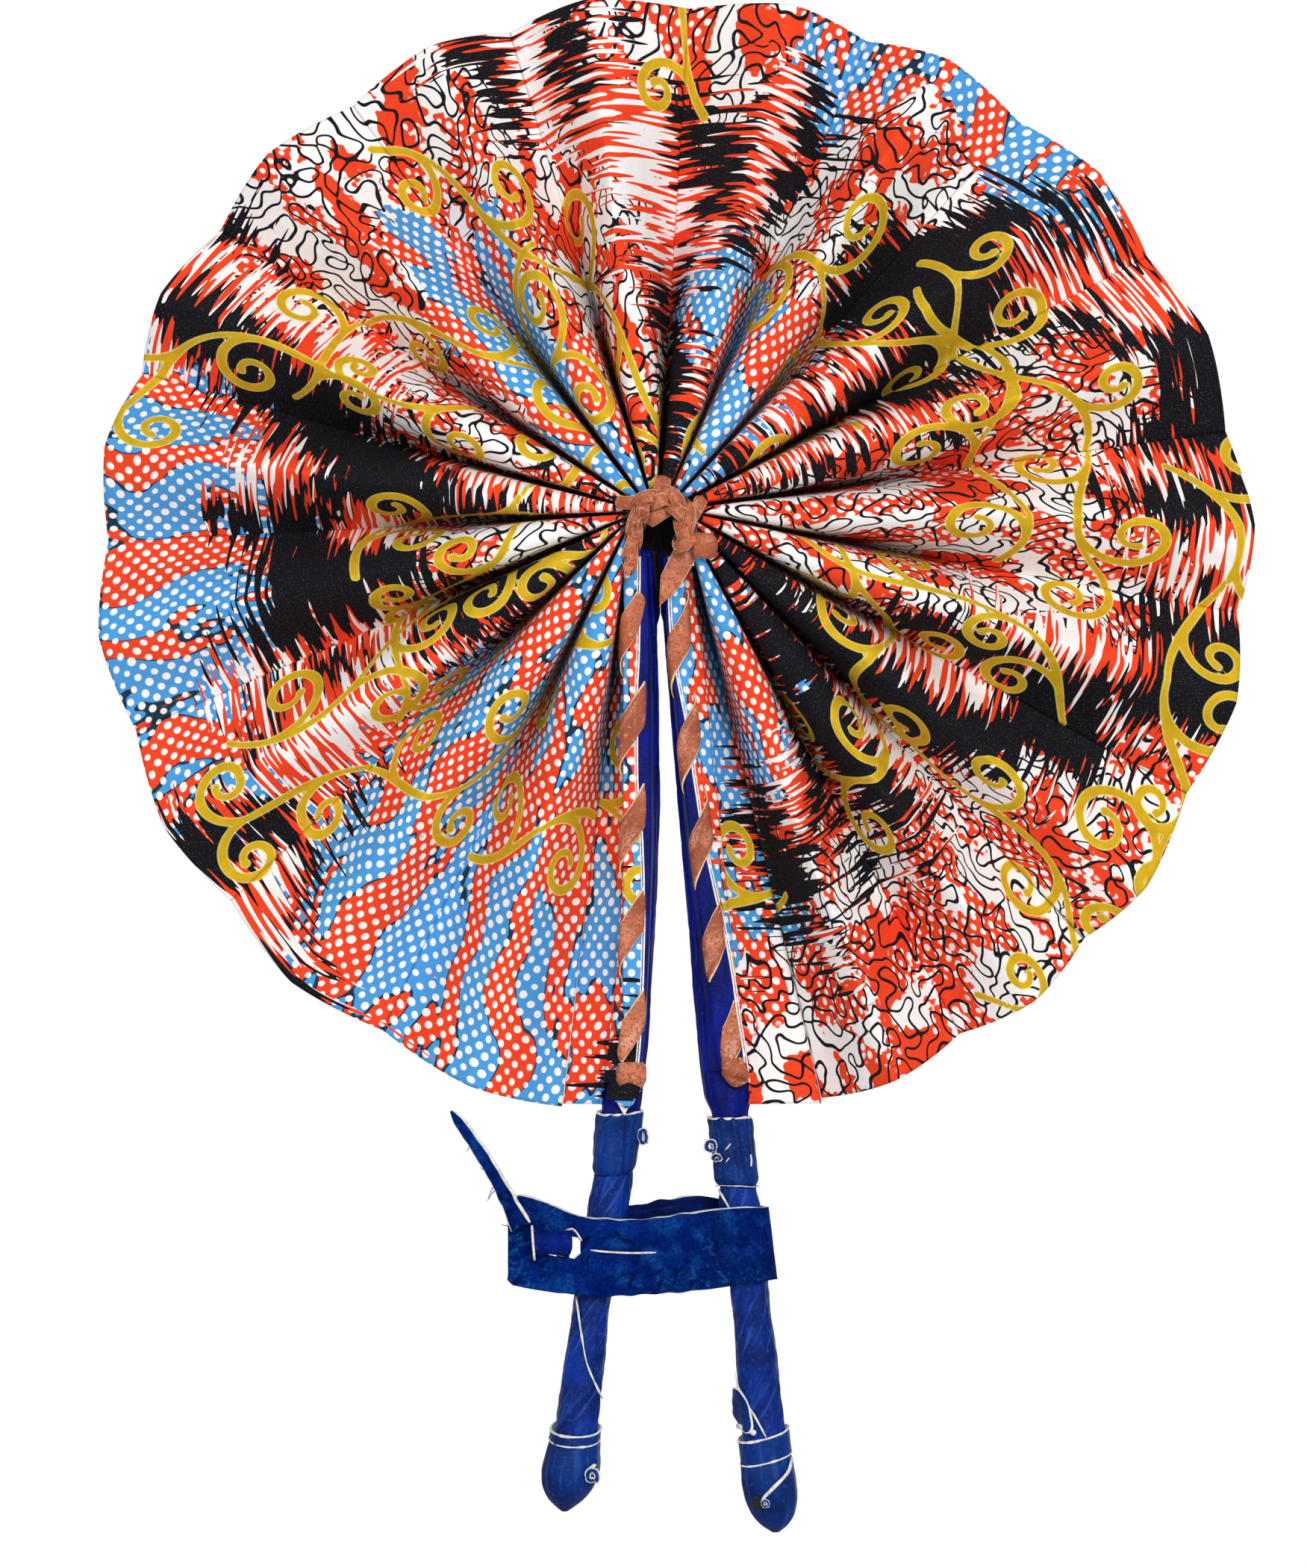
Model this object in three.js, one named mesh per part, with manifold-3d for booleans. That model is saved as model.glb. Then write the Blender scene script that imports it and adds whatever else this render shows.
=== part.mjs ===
// A pleated cloth hand fan, opened right round into a disc, with two leather-covered handles.
// Millimetres, +Z up. The front faces -Y. The origin is between the handles, where a hand holds both.
import * as THREE from "three";
import { mergeVertices } from "three/addons/utils/BufferGeometryUtils.js";
import Module from "manifold-3d";

// General sizes
const HUB_HEIGHT = 188; // hub above the middle of the hand grip
const GAP = 0.3; // running gap between neighbours that touch
const STICK_SIDES = 12;
const FLAT_BACK = 0.8; // share of a section's half depth at which its back is flat

// Leaf
const PLEATS = 18;
const PANEL = 25.5; // cloth from a ridge to the next valley
const CLOTH = 0.5; // wall of a pleat, front to back
const CLOTH_INNER_WALL = 0.28; // wall of a pleat, side to side, at its inner end
const CLOTH_RIM_WALL = 1.5; // wall of a pleat, side to side, at the rim
const PLEAT_SLACK = 0.97; // a curved panel reaches a little less far than a flat one
const RIM_CENTRE = [4.6, -10.3]; // centre of the rim, from the hub
const RIM_HALF = [139.5, 135.5]; // half width and half height of the rim
const SCALLOP = 3; // how far a valley falls short of the rim
const GATHER_CENTRE = [0.8, -2]; // centre of the ring of inner ends, from the hub
const GATHER_HALF = [9, 7]; // half width and half height of that ring
const VALLEY_DRAW = 3; // how much further in the valleys are drawn
const GATHER_FIRST = 55; // where the ring of inner ends starts, clockwise from straight down
const GATHER_LAST = 305;
const GATHER_DIP = 3.2; // how far the ridges dip under the braid
const GATHER_DIP_SHARE = 0.03; // share of a ridge's length over which the dip fades
// Ridges clockwise from straight down, as seen from the front
const RIDGE_DEG = [18, 38, 57.5, 77.5, 97, 114, 133, 154, 172.5, 195, 213, 232.5, 252, 271, 288, 307, 322,
  337];
const FIRST_VALLEY_DEG = 9;
const LAST_VALLEY_DEG = 344;
const ALONG_PLEAT = [0, 0.05, 0.13, 0.26, 0.45, 0.65, 0.83, 1];
const ACROSS_HALF_PLEAT = 4;
const EDGE_PLEAT_TOP = 30; // where the half pleats beside the sticks start, below the hub
const EDGE_PLEAT_FOOT = 139;
const EDGE_PLEAT_WALL = 0.8;
const WALL_MOST = 0.6; // most of a panel's width that its wall may take

// Sticks: places are drops below the hub, with x across or a full width or depth beside them
const STICK_TOP = 8;
const TOP_LEATHER = 1.2; // leather over the stick's top end
const STICKS = {
  left: {
    side: -1,
    centre: [[8, -3.8], [38, -2.7], [74, -2.8], [110, -4.8], [124, -5.9], [145, -8.8], [162, -10.6],
      [188, -15], [214.5, -18.5], [229.5, -20.4], [239.5, -21.8]],
    core: { width: [[9, 3.2], [110, 4.9], [150, 6.2], [233, 6.2]],
      depth: [[9, 2.6], [150, 4.6], [233, 5]], foot: 233 },
    upper: { width: [[8, 6.2], [38, 6.8], [110, 8], [128, 8.8], [143, 9.1], [160, 9.1]],
      depth: [[8, 5.2], [110, 6.4], [143, 7.6], [160, 7.6]] },
    grip: { width: [[150, 9.1], [158.8, 9.1], [164, 9.8], [188, 9.1], [214, 10.6], [219, 10.4]],
      depth: [[150, 7.6], [158.8, 7.6], [188, 8.4], [219, 9.4]] },
    collar: { from: 143.2, to: 158.7, width: 11.3, depth: 9.8, slant: 0.03 },
    neck: { width: 10.1, depth: 9.4 },
    band: { from: 218.9, to: 223.9, width: 12.3, depth: 11.6, slant: -0.06 },
    cap: { width: [[224.9, 12.2], [229, 14.3], [233.5, 13.6], [237.5, 9.6], [239.5, 3.6]],
      depth: [[224.9, 11.6], [229, 13], [233.5, 12.2], [237.5, 8.4], [239.5, 3]] },
    hem: { centre: [[12, -5.3], [110, -5.5], [141, -5.9]], width: 4.8, from: 15.5, to: EDGE_PLEAT_FOOT + 3 },
    lace: { from: 21, turns: 4.2, pitch: 24.5, start: 0.1 },
    laceBand: { from: 131.2, to: 137.6 },
    collarKnot: { drop: 149.4, out: 7.2, y: -1.5, width: 2.2, height: 4.6 },
    capKnot: { drop: 230.8, out: 5.5, y: -7.1, width: 3.4, height: 3.4 },
  },
  right: {
    side: 1,
    centre: [[8, 3.9], [38, 7], [110, 13.8], [144, 17.7], [188, 22.9], [215, 25.4], [233, 27.4],
      [244.5, 28.9]],
    core: { width: [[9, 4.2], [110, 5.6], [150, 5.6], [237, 5.6]],
      depth: [[9, 2.6], [150, 4.2], [237, 4.6]], foot: 237 },
    upper: { width: [[8, 7.2], [38, 8.4], [110, 10], [139, 11], [144.2, 8.6], [160, 8.6]],
      depth: [[8, 5.2], [110, 6.4], [139, 7.4], [144.2, 7.2], [160, 7.2]] },
    grip: { width: [[150, 8.6], [161.6, 8.6], [166, 10], [188, 9.4], [214, 10.8], [220, 10.6]],
      depth: [[150, 7.2], [161.6, 7.2], [188, 8.4], [220, 9.4]] },
    collar: { from: 144.6, to: 161.5, width: 10.8, depth: 9.4, slant: 0 },
    neck: { width: 10.1, depth: 9.4 },
    band: { from: 219.9, to: 226.2, width: 12.3, depth: 11.4, slant: 0.18 },
    cap: { width: [[228.2, 12.4], [234, 13.6], [238.5, 12.8], [242.5, 8.8], [244.5, 3.6]],
      depth: [[228.2, 11.4], [234, 12.4], [238.5, 11.6], [242.5, 8], [244.5, 3]] },
    hem: { centre: [[12, 4.9], [33, 5.8], [58, 8.4], [81, 11.3], [106, 14.7], [141, 20.4]],
      width: 4.2, from: 15.5, to: EDGE_PLEAT_FOOT },
    lace: { from: 21, turns: 4.3, pitch: 23.9, start: 0.1 },
    laceBand: { from: 130, to: 136.2 },
    collarKnot: { drop: 152.6, out: -5.7, y: -4.7, width: 2.2, height: 3.6 },
    capKnot: { drop: 236.5, out: -1.2, y: -7.6, width: 3, height: 3 },
  },
};
const CORE_STEPS = 18;
const CORE_CLEARANCE = GAP;
const HEM_THICK = 1.4;
const LACE_WIDTH = 4.3;
const LACE_THICK = 0.8;
const LACE_STEPS_PER_TURN = 16;
const LACE_LEAST_GAP = 0.4;
const LACE_BAND_THICK = 0.8;
const KNOT_BORE_SHARE = 0.42;
const KNOT_DEPTH = 2.4;
// Flap on the right grip: angles are from the front, towards +X
const BOW = { from: 211.8, to: 219, first: -82, last: -14, thick: 0.9 };

// Hub thong
const BRAID_WIDTH = 4.3;
const BRAID_DEPTH = 2.6;
const BRAID_ROUTE = [[-5.4, -7, -10.2], [-6.2, -3, -12.6], [-5.6, 1.6, -13.4], [-2.6, 3.7, -13.7],
  [0.9, 4.2, -13.8], [4, 3.6, -13.7], [6.5, 0.8, -13.4], [7.1, -3.4, -12.6], [6.2, -7.2, -10.2]];
const BRAID_STEPS = 20;
const TOP_LOOP = { x: 2.2, z: 8.1, y: -12.6, width: 3.8, height: 3.4, depth: 2.4 };
const SIDE_KNOT = { x: 11.7, z: -7.2, y: -12.8, width: 5, height: 4.6, depth: 3.2 };
const DRAWSTRING = { radius: 4, from: 8.2, to: 12.6 };

// Strap: drops of its top and foot at places across it, front and back
const STRAP_THICK = 1.2;
const STRAP_INNER = 5.45; // inside face of the loop, in front of and behind the sticks' middle plane
const STRAP_BEND = 5.8; // inside half width of the loop's bend round the right stick
const STRAP_FRONT = {
  x: [-35.4, -32.5, -27, -18, -8, 2, 12],
  top: [[-35.4, 165.6], [-32.5, 163.2], [-18, 168], [-4.6, 169], [14, 166.8], [27.5, 166]],
  foot: [[-35.4, 183.5], [-34, 184.9], [-20, 187.1], [-9.7, 187.5], [7.4, 186.4], [27.5, 184]],
};
const STRAP_BACK = {
  x: [12, 2, -8, -14.6],
  top: [[-19, 167.5], [-6.5, 166.2], [14, 163.3], [27.5, 166]],
  foot: [[-19, 183], [14, 186], [27.5, 184]],
};
// The strap's neck, from behind the left stick forward to the slit: x, y as a share of the loop's inside
// half depth, top and foot
const STRAP_NECK = [[-17, 1.07, 168.3, 174.5], [-19.3, 0.79, 168.5, 172.6], [-21, 0.28, 168.6, 172.8],
  [-22.4, -0.32, 170.3, 174.4]];
const SLIT = { from: -26.9, to: -17.9, drop: 175.75, height: 5.7 };
const TOGGLE = { from: -30, to: -20.6, height: 6.4, depth: 4.4, drop: 174.6 };
const STEM = { x: -23.4, width: 2.2, height: 4, drop: 175.4 };
const TAIL = { root: [-31.9, 170.6], tip: [-48.6, 142.7], rootWidth: 4.6, tipWidth: 2.2, depth: 4.2,
  thick: 1.3 };

// Fold: the leaf closes like a book round the hub, and the right stick ends beside the left one
const FOLD_DEG = 175;
const PIVOT_OUT = 5.2; // fold pivots beside the sticks' tops, on the leaf side
const FOLDED_LEAN_LEFT = 1.5; // lean of the folded leaf beside each stick, clockwise from straight down
const FOLDED_LEAN_RIGHT = 4;
const FOLDED_STACK = [-8.6, 9.1]; // where the folded pleats' inner ends lie across the hub
const FOLDED_INNER_Z = -6.5;
const FOLDED_EVENING = 0.5; // share of the pleats' difference in length taken up at the inner ends
const STRAP_TURN_DEG = 180;

const MATERIALS = {
  cloth: finish(0xd8503a, 0.9),
  blueLeather: finish(0x0f3c9a, 0.55),
  suede: finish(0x143a8c, 0.95),
  brownLeather: finish(0xb86a4e, 0.5),
  wood: finish(0xb98d5c, 0.7),
};

const wasm = await Module();
wasm.setup();

function finish(color, roughness) {
  return new THREE.MeshStandardMaterial({ color, roughness, metalness: 0 });
}

// A smooth curve through [place, value] pairs, flat past its ends
function through(pairs) {
  const slope = (i, j) => (pairs[j][1] - pairs[i][1]) / (pairs[j][0] - pairs[i][0]);
  const last = pairs.length - 1;
  const slopes = pairs.map((_, i) => slope(Math.max(i - 1, 0), Math.min(i + 1, last)));
  return (at) => {
    if (at <= pairs[0][0]) return pairs[0][1];
    if (at >= pairs[last][0]) return pairs[last][1];
    const k = pairs.findIndex(([place]) => place > at) - 1;
    const span = pairs[k + 1][0] - pairs[k][0];
    const t = (at - pairs[k][0]) / span;
    const rise = pairs[k + 1][1] - pairs[k][1];
    const start = slopes[k] * span;
    const end = slopes[k + 1] * span;
    return pairs[k][1] + t * (start + t * (3 * rise - 2 * start - end + t * (start + end - 2 * rise)));
  };
}

// Places from a to b, both included
function steps(a, b, count) {
  return Array.from({ length: count + 1 }, (_, i) => a + ((b - a) * i) / count);
}

// A point from its x, y and drop below the hub
function dropPoint(x, y, drop) {
  return new THREE.Vector3(x, y, HUB_HEIGHT - drop);
}

// A closed body through rings of equal count. Ends are closed flat, or the rings close on themselves.
function loft(rings, closes = false) {
  const count = rings[0].length;
  const position = rings.flat().flatMap((p) => [p.x, p.y, p.z]);
  const index = [];
  const spans = closes ? rings.length : rings.length - 1;
  for (let r = 0; r < spans; r++) {
    const next = (r + 1) % rings.length;
    for (let k = 0; k < count; k++) {
      const m = (k + 1) % count;
      const [a, b, c, d] = [r * count + k, r * count + m, next * count + k, next * count + m];
      index.push(a, b, c, b, d, c);
    }
  }
  if (!closes) {
    const end = (rings.length - 1) * count;
    for (let k = 0; k < count / 2 - 1; k++) {
      const [a, b, c, d] = [k, k + 1, count - 2 - k, count - 1 - k];
      index.push(a, d, b, b, d, c);
      index.push(end + a, end + b, end + d, end + b, end + c, end + d);
    }
  }
  return outward(position, index);
}

// A geometry whose faces point outwards, whichever way its rings ran
function outward(position, index) {
  let volume = 0;
  const at = (i) => new THREE.Vector3().fromArray(position, 3 * i);
  for (let i = 0; i < index.length; i += 3) {
    volume += at(index[i]).dot(at(index[i + 1]).cross(at(index[i + 2])));
  }
  if (volume < 0) index.reverse();
  const geometry = new THREE.BufferGeometry();
  geometry.setAttribute("position", new THREE.Float32BufferAttribute(position, 3));
  geometry.setIndex(index);
  return geometry;
}

// A level oval ring with a flat back. Slant tips it up towards +X.
function oval(x, drop, width, depth, { y = 0, slant = 0, sides = STICK_SIDES } = {}) {
  return Array.from({ length: sides }, (_, k) => {
    const turn = (2 * Math.PI * (k + 0.5)) / sides;
    const across = (width / 2) * Math.sin(turn);
    const back = Math.min((-depth / 2) * Math.cos(turn), (FLAT_BACK * depth) / 2);
    return dropPoint(x + across, y + back, drop - slant * across);
  });
}

function manifoldOf(geometry) {
  const bare = geometry.clone();
  bare.deleteAttribute("normal");
  bare.deleteAttribute("uv");
  const merged = mergeVertices(bare);
  return new wasm.Manifold(
    new wasm.Mesh({
      numProp: 3,
      vertProperties: merged.attributes.position.array,
      triVerts: new Uint32Array(merged.index.array),
    }),
  );
}

function geometryOf(manifold) {
  const mesh = manifold.getMesh();
  const geometry = new THREE.BufferGeometry();
  geometry.setAttribute("position", new THREE.Float32BufferAttribute(mesh.vertProperties, 3));
  geometry.setIndex(Array.from(mesh.triVerts));
  return geometry;
}

// Bodies: each group sits at its own pivot, and its hinge turns anticlockwise as seen from the front
const fan = new THREE.Group();
fan.name = "fan";
fan.userData.pivot = new THREE.Vector3();

function body(name, parent, pivot, hinge) {
  const group = new THREE.Group();
  group.name = name;
  group.userData = { pivot, hinge };
  group.position.copy(pivot).sub(parent.userData.pivot);
  parent.add(group);
  return group;
}

function add(group, name, geometry, material) {
  const pivot = group.userData.pivot;
  geometry.translate(-pivot.x, -pivot.y, -pivot.z);
  geometry.computeVertexNormals();
  const mesh = new THREE.Mesh(geometry, material);
  mesh.name = name;
  group.add(mesh);
  return mesh;
}

// Leaf: angles are clockwise from straight down
const radians = THREE.MathUtils.degToRad;
const valleyDegrees = [
  FIRST_VALLEY_DEG,
  ...steps(1, PLEATS - 1, PLEATS - 2).map((i) => (RIDGE_DEG[i - 1] + RIDGE_DEG[i]) / 2),
  LAST_VALLEY_DEG,
];

// Where a line from the hub at an angle meets the rim, short of it by an amount
function rimPoint(degrees, short) {
  const way = [-Math.sin(radians(degrees)), -Math.cos(radians(degrees))];
  const [a, b, c] = [0, 1].reduce(
    ([a2, b2, c2], k) => {
      const u = way[k] / RIM_HALF[k];
      const w = RIM_CENTRE[k] / RIM_HALF[k];
      return [a2 + u * u, b2 + u * w, c2 + w * w];
    },
    [0, 0, -1],
  );
  const reach = (b + Math.sqrt(b * b - a * c)) / a - short;
  return new THREE.Vector2(way[0] * reach, way[1] * reach);
}

// A fold's line from the gathered ring to the rim. Place counts pleats from the left edge, 0 to PLEATS.
function foldLine(place, degrees, short, draw) {
  const turn = radians(GATHER_FIRST + ((GATHER_LAST - GATHER_FIRST) * place) / PLEATS);
  const ring = new THREE.Vector2(Math.sin(turn), Math.cos(turn));
  const start = new THREE.Vector2(...GATHER_CENTRE).sub(ring.multiply(new THREE.Vector2(...GATHER_HALF)));
  const rim = rimPoint(degrees, short);
  const way = rim.clone().sub(start).normalize();
  return { inner: start.addScaledVector(way, -draw), rim };
}

const ridgeLines = RIDGE_DEG.map((degrees, i) => foldLine(i + 0.5, degrees, 0, 0));
const valleyLines = valleyDegrees.map((degrees, i) => foldLine(i, degrees, SCALLOP, VALLEY_DRAW));

function along(line, share) {
  return line.inner.clone().lerp(line.rim, share);
}

// How deep the cloth folds, front to back, where a ridge and its valley stand this far apart
function foldDepth(apart) {
  return PLEAT_SLACK * Math.sqrt(Math.max(PANEL * PANEL - apart * apart, 1));
}

// One half of a pleat's section at a share of its length: front points and back points, ridge first
function halfSection(ridge, valley, tangent, hand, share, depth) {
  const apart = hand * valley.clone().sub(ridge).dot(tangent);
  const wall = CLOTH_INNER_WALL + (CLOTH_RIM_WALL - CLOTH_INNER_WALL) * share;
  const reach = apart - GAP / 2;
  const first = reach > wall / WALL_MOST ? wall / reach : WALL_MOST;
  const dip = GATHER_DIP * Math.exp(-share / GATHER_DIP_SHARE);
  const point = (v, inward, behind) => {
    const level = ridge.clone().lerp(valley, v).addScaledVector(tangent, -hand * (v * GAP / 2 + inward));
    const swing = -Math.cos(Math.PI * v);
    const y = (depth / 2) * swing + (dip * (1 - swing)) / 2 + behind;
    return new THREE.Vector3(level.x, y, HUB_HEIGHT + level.y);
  };
  const front = steps(0, 1, ACROSS_HALF_PLEAT).map((v) => point(v, 0, 0));
  const back = steps(first, 1, ACROSS_HALF_PLEAT).map((v) => point(v, wall, CLOTH));
  back[0] = new THREE.Vector3(front[0].x, back[0].y, front[0].z);
  return { front, back };
}

function pleatGeometry(i) {
  const ridgeLine = ridgeLines[i];
  const way = ridgeLine.rim.clone().sub(ridgeLine.inner).normalize();
  const tangent = new THREE.Vector2(way.y, -way.x);
  const rings = ALONG_PLEAT.map((share) => {
    const ridge = along(ridgeLine, share);
    const before = along(valleyLines[i], share);
    const after = along(valleyLines[i + 1], share);
    const hands = [before, after].map((valley) => Math.sign(valley.clone().sub(ridge).dot(tangent)));
    const apart = [before, after].map((valley) => Math.abs(valley.clone().sub(ridge).dot(tangent)));
    const depth = foldDepth((apart[0] + apart[1]) / 2);
    const one = halfSection(ridge, before, tangent, hands[0], share, depth);
    const two = halfSection(ridge, after, tangent, hands[1], share, depth);
    return [
      ...one.front.toReversed(),
      ...two.front.slice(1),
      ...two.back.toReversed(),
      ...one.back.slice(1),
    ];
  });
  return loft(rings);
}

// Sticks
const sticks = Object.fromEntries(
  Object.entries(STICKS).map(([name, stick]) => {
    const [x, hemX] = [through(stick.centre), through(stick.hem.centre)];
    return [name, { name, ...stick, x, hemX }];
  }),
);

function ovalOf(stick, piece, drop, grow = 0) {
  const size = (value) => (Array.isArray(value) ? through(value)(drop) : value) + grow;
  return oval(stick.x(drop), drop, size(piece.width), size(piece.depth), { slant: piece.slant });
}

// A sleeve of leather on a stick, open at both ends
function sleeve(stick, outer, inner, drops, grow) {
  const outside = drops.map((drop) => ovalOf(stick, outer, drop));
  const inside = drops.map((drop) => ovalOf(stick, { ...inner, slant: outer.slant }, drop, grow));
  return loft([...outside, ...inside.reverse()], true);
}

// A sock of leather: closed at its tip, open at its mouth
function sock(stick, outer, inner, drops, innerTip, grow) {
  const outside = drops.map((drop) => ovalOf(stick, outer, drop));
  const toTip = Math.sign(drops[0] - drops[drops.length - 1]);
  const inside = drops
    .filter((drop) => toTip * (innerTip - drop) > 0)
    .reverse()
    .map((drop) => ovalOf(stick, inner, drop, grow));
  return loft([...outside, ...inside, ovalOf(stick, inner, innerTip, grow)]);
}

function hemY(stick, drop) {
  return -through(stick.upper.depth)(drop) / 2 - GAP - LACE_THICK - GAP - HEM_THICK / 2;
}

// A point on an oblong round the hem, at a distance round it as a share of a turn
function roundHem(stick, share, drop, out) {
  const straight = stick.hem.width - HEM_THICK;
  const radius = HEM_THICK / 2 + out;
  const round = Math.PI * radius;
  const whole = 2 * (straight + round);
  let s = (((share % 1) + 1) % 1) * whole;
  const side = stick.side;
  const place = (dx, dy) => dropPoint(stick.hemX(drop) + side * dx, hemY(stick, drop) + dy, drop);
  if (s < straight) return place(straight / 2 - s, -radius);
  s -= straight;
  if (s < round) return place(-straight / 2 - radius * Math.sin(s / radius), -radius * Math.cos(s / radius));
  s -= round;
  if (s < straight) return place(-straight / 2 + s, radius);
  s -= straight;
  return place(straight / 2 + radius * Math.sin(s / radius), radius * Math.cos(s / radius));
}

// The lace: a flat ribbon wound round the hem, which lies straight when the hem's round is rolled out
function laceRings(stick) {
  const { from, turns, pitch, start } = stick.lace;
  const count = Math.round(turns * LACE_STEPS_PER_TURN);
  const round = 2 * (stick.hem.width - HEM_THICK) + 2 * Math.PI * (HEM_THICK / 2 + GAP);
  const tall = LACE_WIDTH / Math.sin(Math.atan2(round, pitch));
  const hand = stick.side;
  return steps(0, turns, count).map((turn) => {
    const middle = from + turn * pitch;
    const share = start + hand * turn;
    const [top, foot] = [middle - tall / 2, middle + tall / 2];
    return [
      roundHem(stick, share, top, GAP),
      roundHem(stick, share, top, GAP + LACE_THICK * 0.8),
      roundHem(stick, share, middle, GAP + LACE_THICK),
      roundHem(stick, share, foot, GAP + LACE_THICK * 0.8),
      roundHem(stick, share, foot, GAP),
      roundHem(stick, share, middle, GAP),
    ];
  });
}

// The least distance between points of one turn and points of any other turn
function leastGap(rings) {
  let least = Infinity;
  rings.forEach((ring, i) => {
    for (let j = i + Math.ceil(LACE_STEPS_PER_TURN / 2); j < rings.length; j++) {
      for (const a of ring) for (const b of rings[j]) least = Math.min(least, a.distanceTo(b));
    }
  });
  return least;
}

function hemGeometry(stick) {
  const { from, to } = stick.hem;
  const share = [0, 0.14, 0.28, 0.42, 0.5, 0.64, 0.78, 0.92];
  return loft(steps(from, to, 8).map((drop) => share.map((s) => roundHem(stick, s, drop, 0))));
}

function laceBandGeometry(stick) {
  const { from, to } = stick.laceBand;
  const ring = (drop, out) => steps(0, 15 / 16, 15).map((s) => roundHem(stick, s, drop, out));
  const outer = GAP + LACE_BAND_THICK;
  return loft([ring(from, outer), ring(to, outer), ring(to, GAP), ring(from, GAP)], true);
}

// A half pleat from the lace back to the leaf's first or last valley
function edgePleatGeometry(stick) {
  const line = stick.side < 0 ? valleyLines[0] : valleyLines[PLEATS];
  const ridge = stick.side < 0 ? ridgeLines[0] : ridgeLines[PLEATS - 1];
  const out = stick.side;
  const wall = EDGE_PLEAT_WALL;
  const rings = steps(EDGE_PLEAT_TOP, EDGE_PLEAT_FOOT, 6).map((drop) => {
    const share = (-drop - line.inner.y) / (line.rim.y - line.inner.y);
    const valley = along(line, share);
    const apart = Math.abs(along(ridge, share).x - valley.x);
    const laceOut = out * stick.hemX(drop) + stick.hem.width / 2 + GAP + LACE_THICK + GAP;
    const coverOut = out * stick.x(drop) + through(stick.upper.width)(drop) / 2 + GAP;
    const start = Math.max(laceOut, coverOut) + wall / 2;
    const far = out * valley.x - GAP / 2 - wall / 2;
    const front = hemY(stick, drop);
    const behind = Math.max(foldDepth(apart) / 2 - CLOTH, 4);
    const knee = start + 0.25 * (far - start);
    const centre = [[start, front], [start + 0.1, front / 2], [knee, 1.2], [far, behind]];
    const near = centre.map(([x, y]) => dropPoint(out * (x - wall / 2), y, drop));
    const away = centre.map(([x, y]) => dropPoint(out * (x + wall / 2), y, drop));
    return [...near, ...away.reverse()];
  });
  return loft(rings);
}

// A small curl of thong, standing out of the leather with its end open
function curlGeometry(stick, { drop, out, y, width, height }) {
  const x = stick.x(drop) + out;
  const ring = (share, depth) =>
    Array.from({ length: 10 }, (_, k) => {
      const turn = (2 * Math.PI * k) / 10;
      const [across, down] = [(share * width * Math.sin(turn)) / 2, (share * height * Math.cos(turn)) / 2];
      return dropPoint(x + across, y + depth * KNOT_DEPTH, drop + down);
    });
  const bore = KNOT_BORE_SHARE;
  return loft([ring(1, 0.5), ring(1, -0.35), ring(bore, -0.5), ring(bore, 0), ring(bore / 3, 0.1)]);
}

// A flap of leather laid round part of the grip
function bowGeometry(stick) {
  const { from, to, first, last, thick } = BOW;
  const rings = steps(from, to, 3).map((drop) => {
    const face = (out) =>
      steps(radians(first), radians(last), 4).map((turn) =>
        dropPoint(
          stick.x(drop) + (through(stick.grip.width)(drop) / 2 + out) * Math.sin(turn),
          -(through(stick.grip.depth)(drop) / 2 + out) * Math.cos(turn),
          drop,
        ),
      );
    return [...face(GAP), ...face(GAP + thick).reverse()];
  });
  return loft(rings);
}

function stickPieces(group, stick) {
  const name = (piece) => `${stick.name}_${piece}`;
  const blue = MATERIALS.blueLeather;
  const brown = MATERIALS.brownLeather;
  const seat = 2 * CORE_CLEARANCE;
  const coreTop = STICK_TOP + TOP_LEATHER + GAP;
  const join = (stick.collar.from + stick.collar.to) / 2;
  const capTop = stick.band.from + GAP;
  const core = steps(coreTop, stick.core.foot, CORE_STEPS).map((drop) => ovalOf(stick, stick.core, drop));
  add(group, name("stick"), loft(core), MATERIALS.wood);
  const upper = [...steps(STICK_TOP, 110, 3), 128, 139, 144.4, join - GAP];
  add(group, name("upper_leather"),
    sock(stick, stick.upper, stick.core, upper, STICK_TOP + TOP_LEATHER, seat), blue);
  const grip = [join, stick.collar.to, ...steps(166, capTop - GAP, 5)];
  add(group, name("grip_leather"), sleeve(stick, stick.grip, stick.core, grip, seat), blue);
  const under = {
    width: stick.collar.width - 2 * LACE_BAND_THICK,
    depth: stick.collar.depth - 2 * LACE_BAND_THICK,
  };
  const collar = steps(stick.collar.from, stick.collar.to, 2);
  add(group, name("collar"), sleeve(stick, stick.collar, under, collar, 0), blue);
  const neck = { ...stick.neck, slant: 0 };
  const lowCap = stick.cap.width.map(([drop]) => drop).reverse();
  const capRings = [
    ...lowCap.map((drop) => ovalOf(stick, stick.cap, drop)),
    ovalOf(stick, neck, stick.cap.width[0][0]),
    ovalOf(stick, neck, capTop),
    ovalOf(stick, stick.core, capTop, seat),
    ovalOf(stick, stick.core, stick.core.foot + GAP, seat),
  ];
  add(group, name("cap"), loft(capRings), blue);
  const bandDrops = [stick.band.from, stick.band.to];
  add(group, name("cap_band"), sleeve(stick, stick.band, stick.neck, bandDrops, seat), blue);
  add(group, name("collar_knot"), curlGeometry(stick, stick.collarKnot), blue);
  add(group, name("cap_knot"), curlGeometry(stick, stick.capKnot), blue);
  add(group, name("hem"), hemGeometry(stick), MATERIALS.cloth);
  add(group, name("edge_pleat"), edgePleatGeometry(stick), MATERIALS.cloth);
  const rings = laceRings(stick);
  const least = leastGap(rings);
  console.log(`${name("lace")}: least gap to itself ${least.toFixed(2)} mm, over ${LACE_LEAST_GAP} mm`);
  add(group, name("lace"), loft(rings), brown);
  add(group, name("lace_band"), laceBandGeometry(stick), brown);
}

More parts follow.
